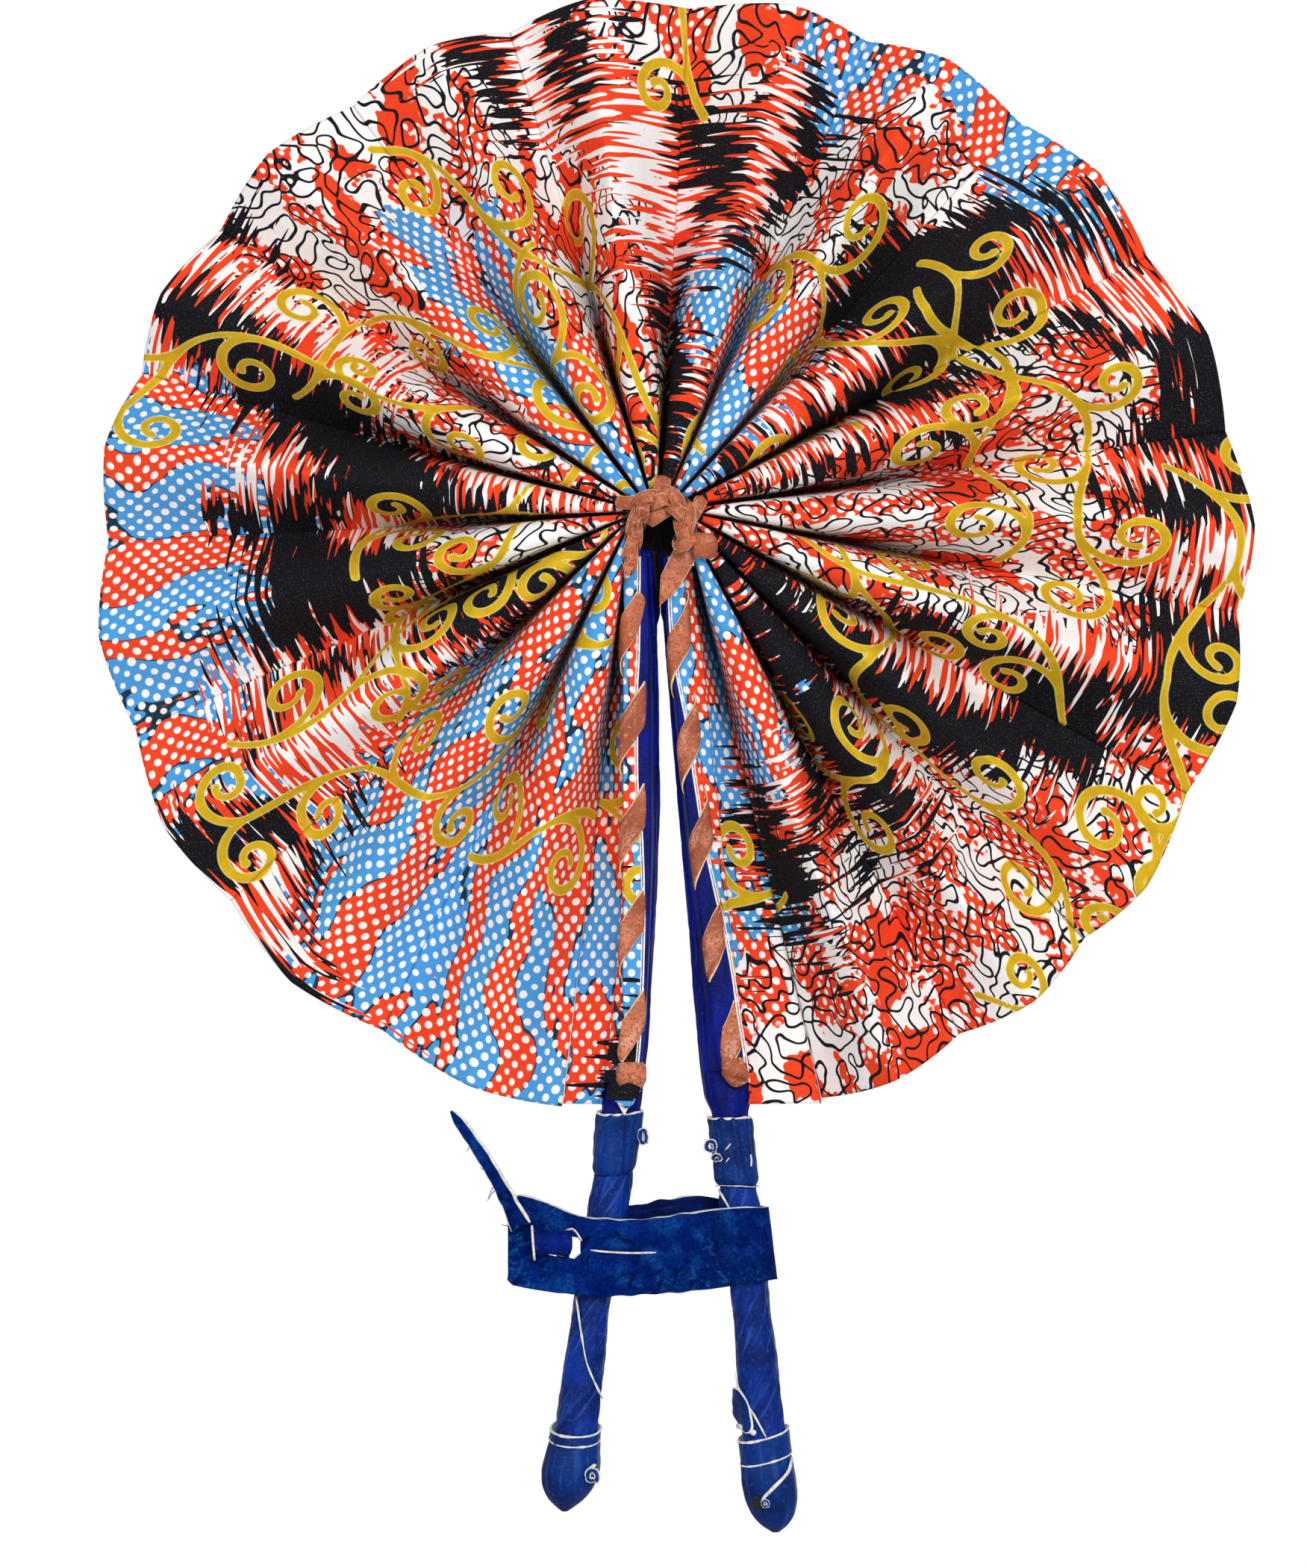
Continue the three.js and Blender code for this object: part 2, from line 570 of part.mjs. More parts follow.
// Hub
function braidGeometry() {
  const route = new THREE.CatmullRomCurve3(
    BRAID_ROUTE.map(([x, z, y]) => new THREE.Vector3(x, y, HUB_HEIGHT + z)),
  );
  const section = new THREE.Shape();
  section.absellipse(0, 0, BRAID_DEPTH / 2, BRAID_WIDTH / 2, 0, 2 * Math.PI);
  return new THREE.ExtrudeGeometry(section, { steps: BRAID_STEPS, extrudePath: route, curveSegments: 8 });
}

function pebble({ x, z, y, width, height, depth }) {
  const geometry = new THREE.SphereGeometry(0.5, 10, 7);
  geometry.scale(width, depth, height);
  geometry.translate(x, y, HUB_HEIGHT + z);
  geometry.deleteAttribute("normal");
  geometry.deleteAttribute("uv");
  return mergeVertices(geometry);
}

function drawstringGeometry() {
  const { radius, from, to } = DRAWSTRING;
  const profile = [[0, from], [radius * 0.7, from], [radius, (from + to) / 2], [radius * 0.7, to], [0, to]];
  const geometry = new THREE.LatheGeometry(profile.map(([r, y]) => new THREE.Vector2(r, y)), 12);
  geometry.translate(GATHER_CENTRE[0], 0, HUB_HEIGHT + GATHER_CENTRE[1]);
  return geometry;
}

// Strap
// A slice of the strap: inside and outside points at its top, then at its foot
function strapSlice(inside, outside, top, foot) {
  return [
    dropPoint(...inside(top), top),
    dropPoint(...outside(top), top),
    dropPoint(...outside(foot), foot),
    dropPoint(...inside(foot), foot),
  ];
}

function strapPanel({ x, top, foot }, side) {
  const face = (place, out) => () => [place, side * (STRAP_INNER + out)];
  const [topAt, footAt] = [through(top), through(foot)];
  return x.map((at) => strapSlice(face(at, 0), face(at, STRAP_THICK), topAt(at), footAt(at)));
}

function strapGeometry(stick) {
  const [top, foot] = [STRAP_FRONT.top.at(-1)[1], STRAP_FRONT.foot.at(-1)[1]];
  const bend = steps(0, Math.PI, 6).map((angle) => {
    const face = (out) => (drop) => [
      stick.x(drop) + (STRAP_BEND + out) * Math.sin(angle),
      -(STRAP_INNER + out) * Math.cos(angle),
    ];
    return strapSlice(face(0), face(STRAP_THICK), top, foot);
  });
  const { x: stemX, drop, height } = STEM;
  const places = [
    ...STRAP_NECK.map(([x, share, ...drops]) => [x, share * STRAP_INNER, ...drops]),
    [stemX, 2 * GAP - STRAP_INNER, drop - height / 2, drop + height / 2],
  ];
  const neck = places.map(([x, y, high, low], i) => {
    const [beforeX, beforeY] = places[i - 1] ?? [STRAP_BACK.x.at(-1), STRAP_INNER + STRAP_THICK / 2];
    const way = new THREE.Vector2(x - beforeX, y - beforeY).normalize();
    const face = (out) => () => [x + way.y * out, y - way.x * out];
    return strapSlice(face(-STRAP_THICK / 2), face(STRAP_THICK / 2), high, low);
  });
  return loft([...strapPanel(STRAP_FRONT, -1), ...bend, ...strapPanel(STRAP_BACK, 1), ...neck]);
}

function boxGeometry(x, y, drop, width, depth, height) {
  const geometry = new THREE.BoxGeometry(width, depth, height);
  geometry.translate(x, y, HUB_HEIGHT - drop);
  return geometry;
}

function strapBandGeometry(stick) {
  const { from, to, drop, height } = SLIT;
  const middle = -STRAP_INNER - STRAP_THICK / 2;
  const slit = boxGeometry((from + to) / 2, middle, drop, to - from, 2 * STRAP_THICK, height);
  return geometryOf(manifoldOf(strapGeometry(stick)).subtract(manifoldOf(slit)));
}

function toggleGeometry() {
  const { from, to, height, depth, drop } = TOGGLE;
  const y = -STRAP_INNER - STRAP_THICK - GAP - depth / 2;
  const roll = [0, 0.08, 0.5, 0.92, 1].map((share) => {
    const swell = share === 0 || share === 1 ? 0.7 : 1;
    return Array.from({ length: 10 }, (_, k) => {
      const turn = (2 * Math.PI * (k + 0.5)) / 10;
      return dropPoint(
        from + (to - from) * share,
        y + (swell * depth * Math.cos(turn)) / 2,
        drop + (swell * height * Math.sin(turn)) / 2,
      );
    });
  });
  const stemLength = STRAP_THICK + 2 * GAP + depth / 2;
  const stem = boxGeometry(STEM.x, y + stemLength / 2, STEM.drop, STEM.width, stemLength, STEM.height);
  return geometryOf(manifoldOf(loft(roll)).add(manifoldOf(stem)));
}

function tailGeometry() {
  const { root, tip, rootWidth, tipWidth, depth, thick } = TAIL;
  const y = -STRAP_INNER - STRAP_THICK - GAP - depth / 2;
  const rings = steps(0, 1, 4).map((share) => {
    const x = root[0] + (tip[0] - root[0]) * share;
    const drop = root[1] + (tip[1] - root[1]) * share;
    const width = rootWidth + (tipWidth - rootWidth) * share;
    const half = (thick + (width - thick) * 0.35) / 2;
    return [
      dropPoint(x - half, y - depth / 2, drop),
      dropPoint(x + half, y - depth / 2, drop),
      dropPoint(x + half, y + depth / 2, drop),
      dropPoint(x - half, y + depth / 2, drop),
    ];
  });
  return loft(rings);
}

// Fold: where each pleat's pivot lies, so that its inner end and its lean come right when folded
function pleatHinge(i) {
  const { inner, rim } = ridgeLines[i];
  const way = rim.clone().sub(inner);
  const longest = Math.max(...ridgeLines.map((line) => line.rim.distanceTo(line.inner)));
  const share = (i + 0.5) / PLEATS;
  const lean = FOLDED_LEAN_LEFT + (FOLDED_LEAN_RIGHT - FOLDED_LEAN_LEFT) * share;
  const now = THREE.MathUtils.euclideanModulo(THREE.MathUtils.radToDeg(Math.atan2(-way.x, -way.y)), 360);
  const turn = now - FOLD_DEG - lean;
  const folded = new THREE.Vector2(
    FOLDED_STACK[0] + (FOLDED_STACK[1] - FOLDED_STACK[0]) * share,
    FOLDED_INNER_Z + FOLDED_EVENING * (longest - way.length()),
  );
  const angle = radians(turn);
  const [cos, sin] = [Math.cos(angle), Math.sin(angle)];
  const dx = folded.x - (cos * inner.x - sin * inner.y);
  const dz = folded.y - (sin * inner.x + cos * inner.y);
  const scale = 2 * (1 - cos);
  const pivot = new THREE.Vector3(
    ((1 - cos) * dx - sin * dz) / scale,
    0,
    HUB_HEIGHT + (sin * dx + (1 - cos) * dz) / scale,
  );
  return { pivot, turn };
}

const { left, right } = sticks;
const pivotLeft = dropPoint(left.x(STICK_TOP) - PIVOT_OUT, 0, STICK_TOP);
const pivotRight = dropPoint(right.x(STICK_TOP) + PIVOT_OUT, 0, STICK_TOP);
const leftBody = body("left_stick", fan, new THREE.Vector3());
const hubBody = body("hub", leftBody, pivotLeft, { joint: "fan_fold", turn: FOLD_DEG });
const rightBody = body("right_stick", hubBody, pivotRight, { joint: "right_stick_fold", turn: FOLD_DEG });
const stickFoot = right.cap.width.at(-1)[0];
const stickEnds = [STICK_TOP, stickFoot].map((drop) => dropPoint(right.x(drop), 0, drop));
const strapAxis = stickEnds[0].clone().sub(stickEnds[1]).normalize();
const strapPivot = dropPoint(right.x(SLIT.drop), 0, SLIT.drop);
const strapHinge = { joint: "strap_turn", turn: STRAP_TURN_DEG, axis: strapAxis };
const strapBody = body("strap", rightBody, strapPivot, strapHinge);
const tailPivot = dropPoint(TAIL.root[0], -STRAP_INNER - STRAP_THICK, TAIL.root[1]);
const tailBody = body("strap_tail", strapBody, tailPivot, { joint: "strap_tail_swing" });

stickPieces(leftBody, left);
stickPieces(rightBody, right);
add(rightBody, "right_bow", bowGeometry(right), MATERIALS.blueLeather);
add(hubBody, "hub_braid", braidGeometry(), MATERIALS.brownLeather);
add(hubBody, "hub_top_loop", pebble(TOP_LOOP), MATERIALS.brownLeather);
add(hubBody, "hub_side_knot", pebble(SIDE_KNOT), MATERIALS.brownLeather);
add(hubBody, "hub_drawstring", drawstringGeometry(), MATERIALS.brownLeather);
add(strapBody, "strap_band", strapBandGeometry(right), MATERIALS.suede);
add(strapBody, "strap_toggle", toggleGeometry(), MATERIALS.blueLeather);
add(tailBody, "strap_tail", tailGeometry(), MATERIALS.blueLeather);
for (let i = 0; i < PLEATS; i++) {
  const number = String(i + 1).padStart(2, "0");
  const { pivot, turn } = pleatHinge(i);
  const pleatBody = body(`pleat_${number}`, hubBody, pivot, { joint: `pleat_${number}_fold`, turn });
  add(pleatBody, `pleat_${number}`, pleatGeometry(i), MATERIALS.cloth);
}

export default fan;
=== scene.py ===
"""Dresses the pleated cloth hand fan: printed leaf, laced edges, leather handles, hub braid and strap.

Sizes are in millimetres and become metres where a mesh is made. The front faces -Y and +Z is up.
A "drop" is a distance below the hub, along -Z.
"""

import logging
import math
from dataclasses import dataclass, field
from enum import Enum
from typing import Callable, Sequence

import bpy
import numpy as np
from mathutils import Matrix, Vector


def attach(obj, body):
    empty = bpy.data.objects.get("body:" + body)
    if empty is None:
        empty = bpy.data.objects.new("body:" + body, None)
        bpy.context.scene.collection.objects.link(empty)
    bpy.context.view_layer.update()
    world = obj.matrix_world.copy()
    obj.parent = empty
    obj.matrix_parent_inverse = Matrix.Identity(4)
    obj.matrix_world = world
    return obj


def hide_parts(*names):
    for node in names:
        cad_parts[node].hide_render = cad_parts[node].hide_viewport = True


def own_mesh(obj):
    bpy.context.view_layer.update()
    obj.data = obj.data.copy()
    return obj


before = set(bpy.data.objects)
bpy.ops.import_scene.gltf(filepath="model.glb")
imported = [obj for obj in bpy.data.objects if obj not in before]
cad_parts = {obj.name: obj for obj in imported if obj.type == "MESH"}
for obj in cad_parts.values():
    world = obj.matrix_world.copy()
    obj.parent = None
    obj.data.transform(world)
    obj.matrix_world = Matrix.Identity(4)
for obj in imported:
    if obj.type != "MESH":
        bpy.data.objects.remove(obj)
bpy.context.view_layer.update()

logging.basicConfig(level=logging.INFO, format="%(message)s")
log = logging.getLogger("fan")

MM = 0.001
HUB_HEIGHT = 188.0
FRONT = np.array([0.0, -1.0, 0.0])
Array = np.ndarray
Pairs = Sequence[tuple[float, float]]
Triples = Sequence[tuple[float, float, float]]


# Numbers and surfaces

def through(pairs: Pairs, at: Array | float) -> Array:
    """A smooth curve through (place, value) pairs, flat past its ends.

    Cubic Hermite spans whose slopes are the chords between each pair's neighbours.

    Args:
        pairs: places in rising order, with a value each.
        at: where to read the curve.

    Returns:
        The values there.
    """
    place = np.array([p for p, _ in pairs], float)
    value = np.array([v for _, v in pairs], float)
    at = np.clip(np.asarray(at, float), place[0], place[-1])
    before = np.maximum(np.arange(len(place)) - 1, 0)
    after = np.minimum(np.arange(len(place)) + 1, len(place) - 1)
    slope = (value[after] - value[before]) / (place[after] - place[before])
    k = np.clip(np.searchsorted(place, at, side="right") - 1, 0, len(place) - 2)
    span = place[k + 1] - place[k]
    t = (at - place[k]) / span
    rise = value[k + 1] - value[k]
    start = slope[k] * span
    end = slope[k + 1] * span
    return value[k] + t * (start + t * (3 * rise - 2 * start - end + t * (start + end - 2 * rise)))


def smoothstep(low: float, high: float, at: Array) -> Array:
    """0 below low, 1 above high, and a smooth climb between."""
    t = np.clip((np.asarray(at, float) - low) / (high - low), 0.0, 1.0)
    return t * t * (3.0 - 2.0 * t)


def lattice_noise(x: Array, y: Array, seed: int) -> Array:
    """Smooth noise from -1 to 1: random values on whole numbers, eased between them.

    Args:
        x: first place.
        y: second place.
        seed: which noise.

    Returns:
        The noise at each place.
    """
    size = 256
    table = np.random.default_rng(seed).uniform(-1.0, 1.0, (size, size))
    fx, fy = np.floor(x), np.floor(y)
    tx, ty = x - fx, y - fy
    tx, ty = tx * tx * (3 - 2 * tx), ty * ty * (3 - 2 * ty)
    ix, iy = fx.astype(int) % size, fy.astype(int) % size
    jx, jy = (ix + 1) % size, (iy + 1) % size
    low = table[ix, iy] * (1 - tx) + table[jx, iy] * tx
    high = table[ix, jy] * (1 - tx) + table[jx, jy] * tx
    return low * (1 - ty) + high * ty


def at_drop(x: Array, y: Array, drop: Array) -> Array:
    """Points from x, y and the drop below the hub, as an array whose last axis is x, y, z."""
    x, y, drop = np.broadcast_arrays(x, y, drop)
    return np.stack([x, y, HUB_HEIGHT - drop], axis=-1)


def unit(v: Array) -> Array:
    """The vectors along the last axis, each made one long."""
    return v / np.maximum(np.linalg.norm(v, axis=-1, keepdims=True), 1e-12)


def circle(count: int) -> Array:
    """The angles of a whole turn in equal steps."""
    return 2 * math.pi * np.arange(count) / count


def powered(value: Array, power: float) -> Array:
    """A power that keeps the value's sign, for the superellipse |a|^n + |b|^n = 1."""
    return np.sign(value) * np.abs(value) ** power


def pair(u: Array, v: Array) -> Array:
    """Two numbers for each place, side by side along a last axis."""
    return np.stack(np.broadcast_arrays(u, v), axis=-1)


def heading(path: Array) -> Array:
    """The direction along a path at each of its points."""
    return unit(np.gradient(path, axis=0))


def lengths(path: Array) -> Array:
    """How far along a path each of its points lies."""
    return np.concatenate([[0], np.cumsum(np.linalg.norm(np.diff(path, axis=0), axis=-1))])


def rounded(start: Array, end: Array, steep: float, least: float) -> Array:
    """A share of a width that rounds off both ends, from the distances to them."""
    return np.sqrt(np.clip(np.minimum(start, end) * steep, least, 1))


def blunted(count: int, blunt: float) -> Array:
    """A share of a width at each of so many points, which tapers to both ends."""
    return np.sqrt(np.clip(np.sin(math.pi * np.linspace(0.02, 0.98, count)) * blunt, 0, 1))


@dataclass
class Surface:
    """A grid of points that becomes one mesh object.

    Attributes:
        points: rows by columns by x, y, z.
        uv: rows by columns by u, v; one column more where the columns close.
        closed: whether each row closes into a ring.
        wrap: whether the last row joins the first.
        poles: a point that closes the first row and one that closes the last, or None.
        keep: which quads exist, as rows by columns, or None for all.
        values: named numbers, one for each grid point.
    """

    points: Array
    uv: Array | None = None
    closed: bool = False
    wrap: bool = False
    keep: Array | None = None
    poles: tuple[Array | None, Array | None] = (None, None)
    values: dict[str, Array] = field(default_factory=dict)

    def build(self, name: str) -> bpy.types.Object:
        """Makes the mesh object.

        Args:
            name: the object's name.

        Returns:
            The object, at the origin, with its place in its mesh.
        """
        rows, columns = self.points.shape[:2]
        spans = columns if self.closed else columns - 1
        i, j = np.meshgrid(np.arange(rows if self.wrap else rows - 1), np.arange(spans), indexing="ij")
        if self.keep is not None:
            i, j = i[self.keep], j[self.keep]
        k, below = (j + 1) % columns, (i + 1) % rows
        quads = np.stack([a * columns + b for a, b in ((i, j), (i, k), (below, k), (below, j))], axis=-1)
        poles, fans, fan_uv = self._pole_fans(rows, columns, spans)
        points = np.vstack([self.points.reshape(-1, 3), *poles])
        uv = np.vstack([self._corner_uv(i, j), *fan_uv])
        loops = np.concatenate([quads.reshape(-1), *(f.reshape(-1) for f in fans)])
        counts = np.array([4] * (quads.size // 4) + [3] * sum(len(f) for f in fans))
        mesh = bpy.data.meshes.new(name)
        mesh.vertices.add(len(points))
        mesh.vertices.foreach_set("co", (points * MM).astype(np.float32).ravel())
        mesh.loops.add(len(loops))
        mesh.loops.foreach_set("vertex_index", loops.astype(np.int32))
        mesh.polygons.add(len(counts))
        starts = np.concatenate([[0], np.cumsum(counts)[:-1]])
        mesh.polygons.foreach_set("loop_start", starts.astype(np.int32))
        mesh.update(calc_edges=True)
        mesh.polygons.foreach_set("use_smooth", np.ones(len(counts), bool))
        layer = mesh.uv_layers.new(name="cloth")
        layer.data.foreach_set("uv", uv.astype(np.float32).ravel())
        for key, grid in self.values.items():
            ends = [[grid[row].mean()] for row, pole in zip((0, -1), self.poles) if pole is not None]
            flat = np.concatenate([grid.reshape(-1), *ends])
            attribute = mesh.attributes.new(key, "FLOAT", "POINT")
            attribute.data.foreach_set("value", flat.astype(np.float32))
        mesh.validate()
        made = bpy.data.objects.new(name, mesh)
        bpy.context.scene.collection.objects.link(made)
        return made

    def _corner_uv(self, i: Array, j: Array) -> Array:
        """The u, v of each quad's four corners, in the quads' order.

        Args:
            i: the quads' rows.
            j: the quads' columns.

        Returns:
            One row of u, v for each corner.
        """
        if self.uv is None:
            return np.zeros((i.size * 4, 2))
        next_i = np.minimum(i + 1, self.uv.shape[0] - 1)
        next_j = np.minimum(j + 1, self.uv.shape[1] - 1)
        corners = [(i, j), (i, next_j), (next_i, next_j), (next_i, j)]
        return np.stack([self.uv[a, b] for a, b in corners], axis=-2).reshape(-1, 2)

    def _pole_fans(self, rows: int, columns: int, spans: int) -> tuple[list, list, list]:
        """Triangles that close the first and last rows on their poles, with the pole points and u, v.

        Args:
            rows: rows of points.
            columns: points in a row.
            spans: quads in a row.

        Returns:
            The poles, the triangles of each fan, and the u, v of their corners.
        """
        points, fans, fan_uv = [], [], []
        ring = np.arange(spans)
        for end, pole in enumerate(self.poles):
            if pole is None:
                continue
            row = end * (rows - 1)
            centre = np.full(spans, rows * columns + len(points))
            a, b = row * columns + ring, row * columns + (ring + 1) % columns
            points.append(np.asarray(pole, float).reshape(1, 3))
            fans.append(np.stack([a, b, centre] if end else [b, a, centre], axis=-1))
            edge = self.uv[row, :spans] if self.uv is not None else np.zeros((spans, 2))
            fan_uv.append(np.repeat(edge, 3, axis=0))
        return points, fans, fan_uv


def tube(points: Array, uv: Array | None = None, values: dict[str, Array] | None = None) -> Surface:
    """A surface of rings, closed at both ends in the middles of its first and last rings."""
    poles = points[0].mean(axis=0), points[-1].mean(axis=0)
    return Surface(points, uv, closed=True, poles=poles, values=values or {})


def strip(
    path: Array, across: Array, out: Array, width: Array | float, thick: Array | float, sides: int = 16,
    square: float = 4.0, twist_uv: float = 1.0,
) -> Surface:
    """A flat thong along a path, with closed ends.

    Its section is a superellipse: |a / (width/2)|^n + |b / (thick/2)|^n = 1, where a runs across and b
    outwards.

    Args:
        path: points along the middle.
        across: the direction of its width at each point.
        out: the direction of its thickness at each point.
        width: full width at each point.
        thick: full thickness at each point.
        sides: points round the section.
        square: n, larger for a squarer section.
        twist_uv: how many times v runs round the section.

    Returns:
        The closed surface. Its value "edge" is 1 on the narrow cut edges.
    """
    a, b = (powered(wave(circle(sides)), 2 / square) for wave in (np.cos, np.sin))
    width = np.broadcast_to(width, len(path))[:, None, None] / 2
    thick = np.broadcast_to(thick, len(path))[:, None, None] / 2
    points = path[:, None] + across[:, None] * a[:, None] * width + out[:, None] * b[:, None] * thick
    uv = pair(lengths(path)[:, None] / 10, np.arange(sides + 1) / sides * twist_uv)
    edge = np.broadcast_to(smoothstep(0.86, 0.97, np.abs(a))[None, :], points.shape[:2])
    return Surface(points, uv, closed=True, poles=(path[0], path[-1]), values={"edge": edge})


def thong(path: Array, width: Array | float, thick: float, sides: int, square: float, twist_uv: float = 1.0,
          hand: int = 1) -> Surface:
    """A strip whose width lies across the front view.

    Args:
        path: points along the middle.
        width: full width at each point.
        thick: full thickness.
        sides: points round the section.
        square: larger for a squarer section.
        twist_uv: how many times v runs round the section.
        hand: 1, or -1 for a section that runs the other way round.

    Returns:
        The closed surface.
    """
    along = heading(path)
    across = unit(np.cross(along, FRONT))
    return strip(path, across, hand * unit(np.cross(across, along)), width, thick, sides, square, twist_uv)


def square_to(along: Array, way: Array) -> Array:
    """One direction, turned at each point so that it stands square to the path."""
    return unit(way - along * (way * along).sum(axis=-1, keepdims=True))


def turn_outwards(mesh: bpy.types.Mesh) -> None:
    """Turns a closed mesh's faces outwards if its volume, from its triangles, comes out negative.

    Args:
        mesh: the closed mesh.
    """
    mesh.calc_loop_triangles()
    index = np.zeros(len(mesh.loop_triangles) * 3, np.int32)
    mesh.loop_triangles.foreach_get("vertices", index)
    co = np.zeros(len(mesh.vertices) * 3, np.float32)
    mesh.vertices.foreach_get("co", co)
    a, b, c = np.moveaxis(co.reshape(-1, 3).astype(float)[index.reshape(-1, 3)], 1, 0)
    if np.einsum("ij,ij->i", a, np.cross(b, c)).sum() < 0:
        mesh.flip_normals()


# Shader building

@dataclass(frozen=True)
class Colour:
    """A colour as it is seen, from 0 to 255 in each channel."""

    red: float
    green: float
    blue: float

    def linear(self) -> tuple[float, float, float, float]:
        """The colour as the renderer takes it.

        Returns:
            Red, green, blue and 1, from 0 to 1.
        """
        def channel(value: float) -> float:
            """One channel, with the display's curve undone."""
            v = value / 255.0
            return v / 12.92 if v <= 0.04045 else ((v + 0.055) / 1.055) ** 2.4
        return channel(self.red), channel(self.green), channel(self.blue), 1.0


Socket = bpy.types.NodeSocket
Value = float | Socket


class Graph:
    """The nodes of a material or a world, from an empty start."""

    def __init__(self, owner: bpy.types.Material | bpy.types.World) -> None:
        """Empties the owner's nodes.

        Args:
            owner: the material or world that the nodes belong to.
        """
        owner.use_nodes = True
        self.tree = owner.node_tree
        self.tree.nodes.clear()

    def put(self, socket: Socket, value: Value | Colour) -> None:
        """Links a socket to another, or sets its value.

        Args:
            socket: the input.
            value: the output to link, or the value.
        """
        if isinstance(value, bpy.types.NodeSocket):
            self.tree.links.new(value, socket)
        else:
            socket.default_value = value.linear() if isinstance(value, Colour) else value

    def node(self, kind: str, inputs: dict[str | int, Value | Colour] | None = None, output: str | int = 0,
             **settings: object) -> Socket:
        """Adds a node.

        Args:
            kind: the node's type, without its first word.
            inputs: values or links by the input's name or number.
            output: which output to hand back.
            settings: the node's own settings.

        Returns:
            The chosen output.
        """
        made = self.tree.nodes.new(f"ShaderNode{kind}")
        for key, value in settings.items():
            setattr(made, key, value)
        for key, value in (inputs or {}).items():
            self.put(made.inputs[key], value)
        return made.outputs[output]


class Shader(Graph):
    """A material under construction, with short calls for the nodes it needs."""

    def __init__(self, name: str) -> None:
        """Starts a material by its name.

        Args:
            name: the material's name.
        """
        self.material = bpy.data.materials.new(name)
        super().__init__(self.material)
        out = self.tree.nodes.new("ShaderNodeOutputMaterial")
        self.bsdf = self.tree.nodes.new("ShaderNodeBsdfPrincipled")
        self.put(out.inputs["Surface"], self.bsdf.outputs["BSDF"])

    def math(self, operation: str, a: Value, b: Value = 0.0) -> Socket:
        """A Math node of two values."""
        return self.node("Math", {0: a, 1: b}, operation=operation)

    def add(self, a: Value, b: Value) -> Socket:
        """a + b."""
        return self.math("ADD", a, b)

    def sub(self, a: Value, b: Value) -> Socket:
        """a - b."""
        return self.math("SUBTRACT", a, b)

    def mul(self, a: Value, b: Value) -> Socket:
        """a * b."""
        return self.math("MULTIPLY", a, b)

    def about(self, noise: Socket, size: float) -> Socket:
        """A noise moved to lie about 0, times a size."""
        return self.mul(self.sub(noise, 0.5), size)

    def ramp(self, value: Value, low: float, high: float) -> Socket:
        """0 at low and 1 at high, smoothly; low may be above high.

        Args:
            value: what is read.
            low: where it is 0.
            high: where it is 1.

        Returns:
            The ramp.
        """
        first, last = (0.0, 1.0) if high > low else (1.0, 0.0)
        inputs = {"Value": value, "From Min": min(low, high), "From Max": max(low, high), "To Min": first,
                  "To Max": last}
        return self.node("MapRange", inputs, interpolation_type="SMOOTHSTEP")

    def mix(self, share: Value, a: Value | Colour, b: Value | Colour) -> Socket:
        """A colour from a to b."""
        return self.node("Mix", {0: share, 6: a, 7: b}, 2, data_type="RGBA")

    def tint(self, colour: Value | Colour, mask: Socket, low: float, high: float, share: float,
             other: Colour) -> Socket:
        """The colour, part way to another where the mask ramps up from low to high."""
        return self.mix(self.mul(self.ramp(mask, low, high), share), colour, other)

    def vector(self, x: Value, y: Value, z: Value = 0.0) -> Socket:
        """A vector from three values."""
        return self.node("CombineXYZ", {0: x, 1: y, 2: z})

    def noise(self, vector: Socket, scale: float, detail: float = 0.0, distortion: float = 0.0) -> Socket:
        """Noise from 0 to 1 at a scale."""
        return self.node("TexNoise", {"Vector": vector, "Scale": scale, "Detail": detail,
                                      "Distortion": distortion})

    def cloth(self, u: Socket, v: Socket, across: float, along: float, layer: float = 0.0,
              detail: float = 0.0, distortion: float = 0.0) -> Socket:
        """Noise over cloth, with its own scale along u and along v."""
        place = self.vector(self.mul(u, across), self.mul(v, along), layer)
        return self.noise(place, 1.0, detail, distortion)

    def attribute(self, name: str) -> Socket:
        """A number stored on the mesh."""
        return self.node("Attribute", None, "Fac", attribute_name=name)

    def uv(self) -> tuple[Socket, Socket]:
        """The piece's own u and v.

        Returns:
            u and v.
        """
        made = self.tree.nodes.new("ShaderNodeSeparateXYZ")
        self.put(made.inputs[0], self.node("UVMap", uv_map="cloth"))
        return made.outputs[0], made.outputs[1]

    def place(self) -> Socket:
        """The point's place on the object."""
        return self.node("TexCoord", None, "Object")

    def cut_edge(self, colour: Socket, noise: Socket, cut: Colour) -> Socket:
        """The colour, with a ragged pale edge where the mesh's number "edge" is 1."""
        edge = self.ramp(self.add(self.attribute("edge"), self.about(noise, 0.3)), 0.4, 0.6)
        return self.mix(edge, colour, cut)

    def bump(self, height: Socket, strength: float, distance: float) -> Socket:
        """A bump from a height; distance is in metres."""
        return self.node("Bump", {"Strength": strength, "Distance": distance, "Height": height})

    def finish(self, colour: Value | Colour, roughness: Value, normal: Socket | None = None,
               specular: float = 0.5) -> bpy.types.Material:
        """Joins the colour, roughness, bump and shine to the surface, and hands back the material.

        Args:
            colour: its colour.
            roughness: its roughness.
            normal: its bump, if it has one.
            specular: how much it shines.

        Returns:
            The material.
        """
        self.put(self.bsdf.inputs["Base Color"], colour)
        self.put(self.bsdf.inputs["Roughness"], roughness)
        self.put(self.bsdf.inputs["Specular IOR Level"], specular)
        if normal is not None:
            self.put(self.bsdf.inputs["Normal"], normal)
        return self.material


